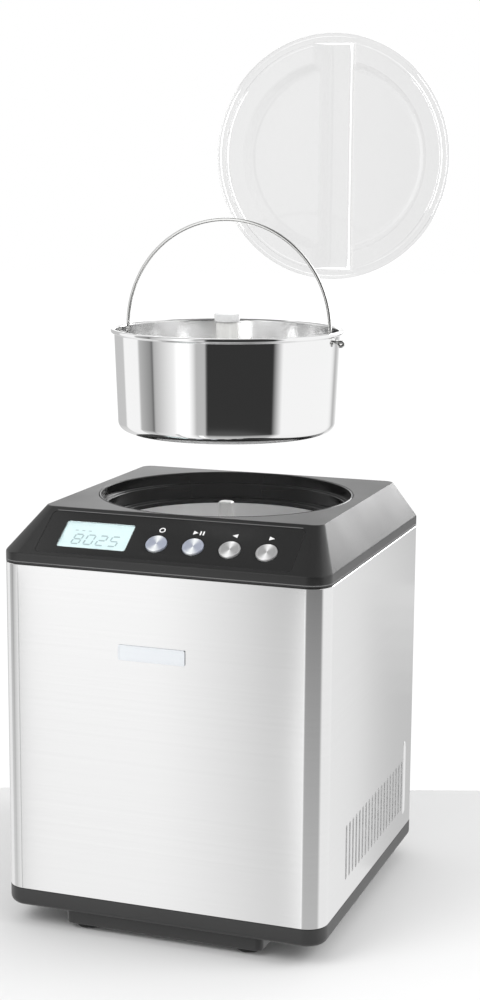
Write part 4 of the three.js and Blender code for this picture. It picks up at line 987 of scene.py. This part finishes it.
def buttons():
    for name, x in BUTTONS:
        centre = SLOPE @ Vector((x, BUTTON_ROW, 0))
        profile = rounded([
            (0, -9), (2.5, -9), (2.5, -3.6), (10.6, -3.6), (10.6, -2.2), (9, -2.2), (9, 1.0, 0.3), (8.6, 1.6, 0.35),
            (7.7, 1.6, 0.3), (7.2, 1.15, 0.4), (0, 0.75)], closed=False, steps=3)
        button = to_object(f"{name}_button", moved(lathe(profile, 64, (x, BUTTON_ROW, 0)), SLOPE))
        tone = (0.68, 0.71, 0.80) if name in ("power", "start_pause") else grey(0.66)
        # The buttons' colour runs from dark to light with a painted two-winged highlight.
        finish = lathed_metal(f"turned_button_{name}", tone, 0.30, (centre.x * MM, centre.y * MM), 1500, 2.2,
                              0.28, 0.35, "Fan")
        dress(button, finish, f"button_{name}", "button_steel", f"button_{name}")


def badge():
    low, high = box_mm("front_badge")
    plate = slab(low.x, low.z, high.x, high.z, 1.2, -0.5, 0.5, 0.3)
    rim = slab(low.x + 1.2, low.z + 1.2, high.x - 1.2, high.z - 1.2, 0.8, 0.3, 2, 0)
    stand = shift(0, (low.y + high.y) / 2, 0) @ rotate(90, "X")
    badge_plate = to_object("blank_badge", moved(plate, stand))
    carve(badge_plate, moved(rim, stand))
    dress(badge_plate, BADGE_STEEL, "cabinet", "badge_metal", "front_badge")


# ---- back

GRILLE_COUNT, GRILLE_PITCH, GRILLE_FOOT = 9, 12, 120.6


def rear_panel():
    low, high = box_mm("rear_panel")
    stand = shift(0, high.y, 0) @ rotate(90, "X")
    plate = to_object("rear_sheet", moved(slab(low.x, low.z, high.x, high.z, 3, 0, 1.2, 0.2), stand))
    cuts = []
    for i in range(GRILLE_COUNT):
        slot = moved(capsule(4.5, 120, -4, 6), rotate(90, "Z"))
        cuts.append(moved(slot, shift(0, GRILLE_FOOT + 2.25 + i * GRILLE_PITCH, 0)))
    cuts.append(lathe([(0, -4), (9.3, -4), (9.3, 6), (0, 6)], 48, (84, 80.6, 0)))
    carve(plate, moved(merged(*cuts), stand))
    dress(plate, ZINC, "cabinet", "zinc_steel", "rear_panel")


def rear_screws():
    for name in ("lower_left", "lower_right", "upper_left", "upper_right"):
        x, _, z = middle(f"rear_screw_{name}")
        profile = rounded([(0, -6), (1.6, -6), (1.6, 0), (3.8, 0, 0.2), (3.6, 1.3, 0.8), (0, 1.8)], closed=False)
        head = to_object(f"panel_screw_{name}", lathe(profile, 32))
        cross = merged(slab(-2, -0.4, 2, 0.4, 0.2, 0.7, 3, 0), slab(-0.4, -2, 0.4, 2, 0.2, 0.7, 3, 0))
        carve(head, cross)
        head.data.transform(shift(x * MM, (BACK + GAP) * MM, z * MM) @ rotate(-90, "X"))
        dress(head, SHAFT_STEEL, "cabinet", "brushed_steel", f"rear_screw_{name}")


def cord_gland():
    x, _, z = middle("cord_gland")
    profile = rounded([(3.7, -6), (9, -6), (9, 1.5), (12, 1.5, 0.4), (12, 4, 0.9), (8.4, 5, 0.8), (6.6, 9, 0.8),
                       (3.7, 9, 0.5)])
    turn = shift(x, box_mm("rear_panel")[0].y, z) @ rotate(-90, "X")
    gland = to_object("cord_grommet", moved(lathe(profile, 48), turn))
    dress(gland, FOOT_RUBBER, "cabinet", "black_rubber", "cord_gland")


# ---- bowl, bail and dasher

def bowl():
    height, foot, top, wall = BOWL_RIM - BOWL_FOOT, 95.0, 98.6, 1.2
    under, outer = height - 4, 101.5
    profile = rounded([
        (8, 0, 0.2), (foot + 0.1, 0, 9), (top, under - 0.6, 0.4), (top + 0.7, under - 0.3, 0.4),
        (outer, under + 0.5, 1.6), (outer, height - 0.3, 1.7), (top + 0.4, height, 1.2),
        (top - wall, height - 1.6, 1.4), (foot - wall, wall, 8), (9.2, wall, 1.2), (9.2, 69, 0.5), (8, 69, 0.4)],
        steps=12)
    shell = to_object("mixing_bowl", lathe(profile, 192, (0, WELL_Y, BOWL_FOOT)), 40)
    holes = [lathe([(0, start), (2.3, start), (2.3, start + 14), (0, start + 14)], 24) for start in (-104, 90)]
    carve(shell, moved(moved(merged(*holes), rotate(90, "Y")), shift(0, WELL_Y, BAIL_PIVOT)), 40)
    dress(shell, BOWL_STEEL, "bowl", "polished_steel", "bowl")


def bail():
    arch, leg, bend, eye, reach = 93.55, 8.5, 3.2, 1.85, 103.4
    half = [(arch * math.cos(a), leg + arch * math.sin(a)) for a in (math.pi / 2 * k / 40 for k in range(1, 41))]
    corner = [(arch + bend - bend * math.sin(a), bend - bend * math.cos(a)) for a in (
        math.pi / 2 * k / 6 for k in range(7))]
    curl = [(reach + eye * math.sin(a), -eye + eye * math.cos(a)) for a in (
        math.radians(300 - 300 * k / 18) for k in range(19))]
    side = curl + [(101.5, 0), (99, 0)] + corner + half
    path = [(x, 0.0 if x < 102 else min(2.4, (x - 102) * 0.5), z) for x, z in side]
    path += [(-x, y, z) for x, y, z in reversed(path[:-1])]
    wire = moved(sweep(path, 1.5, 14), shift(0, WELL_Y, BAIL_PIVOT))
    dress(to_object("bail_wire", wire, 50), BAIL_STEEL, "bail", "polished_steel", "bail")


def dasher_cap():
    low, high = box_mm("dasher_cap")
    skirt, rise = low.z, high.z
    profile = rounded([
        (0, rise - 1.7), (9.8, rise - 1.7), (9.8, skirt), (10.9, skirt, 0.4), (11.2, skirt + 2, 0.5),
        (11.2, rise - 1.2, 1.1), (9.9, rise, 0.8), (7.2, rise, 0.5), (6.6, rise - 0.5, 0.4), (0, rise - 0.6)],
        closed=False, steps=4)
    made = to_object("hub_cap", lathe(profile, 64, (0, WELL_Y, 0)))
    dress(made, CAP_FROSTED, "dasher", "frosted_plastic", "dasher_cap")


# ---- lid

LID_PLACE = (62, 118, 648)


def lid():
    """The lid as it hangs in the air, with its grip to the back."""
    radius, sheet, plateau, rise = 108.5, 2.0, 80.0, 12.0

    def dome(inset):
        top = rise - inset
        under = -3 if inset else 0
        return lathe(rounded([
            (0, under), (plateau + 6 - inset, under), (plateau + 6 - inset, sheet - inset, 1.2 if not inset else 0.4),
            (plateau - inset, top, 3.5), (0, top)], closed=False, steps=5), 128)

    def grip(inset):
        foot, crest, top = 21 - inset, 11 - inset, rise + 15 - inset
        under = -3 if inset else 0.2
        length = radius - 7 - inset
        section = rounded([(foot, under), (crest, top, 3.0), (-crest, top, 3.0), (-foot, under)], steps=5)
        ends = [(-length, 0.86), (-length + 9, 1.0), (length - 9, 1.0), (length, 0.86)]
        return skin([[(x, y, under + (z - under) * share) for x, z in section] for y, share in ends])

    skirt, inner_ring = 105.6, 101.0
    plate = lathe(rounded([
        (0, 0), (inner_ring - 2, 0), (inner_ring - 2, -3, 0.5), (inner_ring, -3, 0.5), (inner_ring, 0, 0.4),
        (skirt, 0, 0.4), (skirt, -4, 0.6), (radius, -4, 0.8), (radius, sheet, 1.6), (0, sheet)], closed=False,
        steps=4), 160)
    shell = to_object("clear_lid", plate, 40)
    for part in (dome(0), grip(0)):
        carve(shell, part, 40, "UNION")
    hollow = to_object("hollow", dome(sheet), 40)
    carve(hollow, grip(sheet), 40, "UNION")
    hollow.data.transform(Matrix.Scale(1 / MM, 4))
    cutter = bmesh.new()
    cutter.from_mesh(hollow.data)
    bpy.data.objects.remove(hollow)
    carve(shell, cutter, 40)
    shell.data.transform(shift(*(length * MM for length in LID_PLACE)) @ rotate(-90, "X"))
    dress(shell, LID_CLEAR, "lid", "clear_plastic", "lid")


# ---- inside parts that keep their shape

def inner_works():
    finishes = {
        DRUM_METAL: ("gearbox_housing",), FIN_METAL: ("condenser",),
        COPPER: ("evaporator_coil", "filter_dryer", "discharge_pipe", "liquid_pipe", "capillary_tube", "suction_pipe"),
        FOAM: ("drum_insulation",), ZINC: ("mid_shelf", "gearbox_cover", "compressor_bracket"),
        SHAFT_STEEL: ("drive_shaft", "motor_pinion"), WHITE_NYLON: ("output_gear", "shaft_bush", "dasher"),
        MOTOR_METAL: ("drive_motor", "fan_motor"), ENAMEL: ("compressor",),
        FAN_PLASTIC: ("fan_shroud", "fan_wheel", "compressor_terminal_cover"), BOARD: ("control_board", "power_board"),
        FOOT_RUBBER: tuple(f"compressor_grommet_{i}" for i in range(1, 5)),
    }
    pipes = set(finishes[COPPER])
    for finish, names in finishes.items():
        for name in names:
            refine(name, finish, 0 if name in pipes else 0.3)


for make in (body_wrap, side_ribs, vent_screens, base_pan, feet, top_cover, cover_seam_highlight, panel_seam_highlight, well_collar,
             drum, control_panel, display, panel_prints, buttons, badge, rear_panel, rear_screws, cord_gland, bowl,
             bail, dasher_cap, lid, inner_works):
    make()
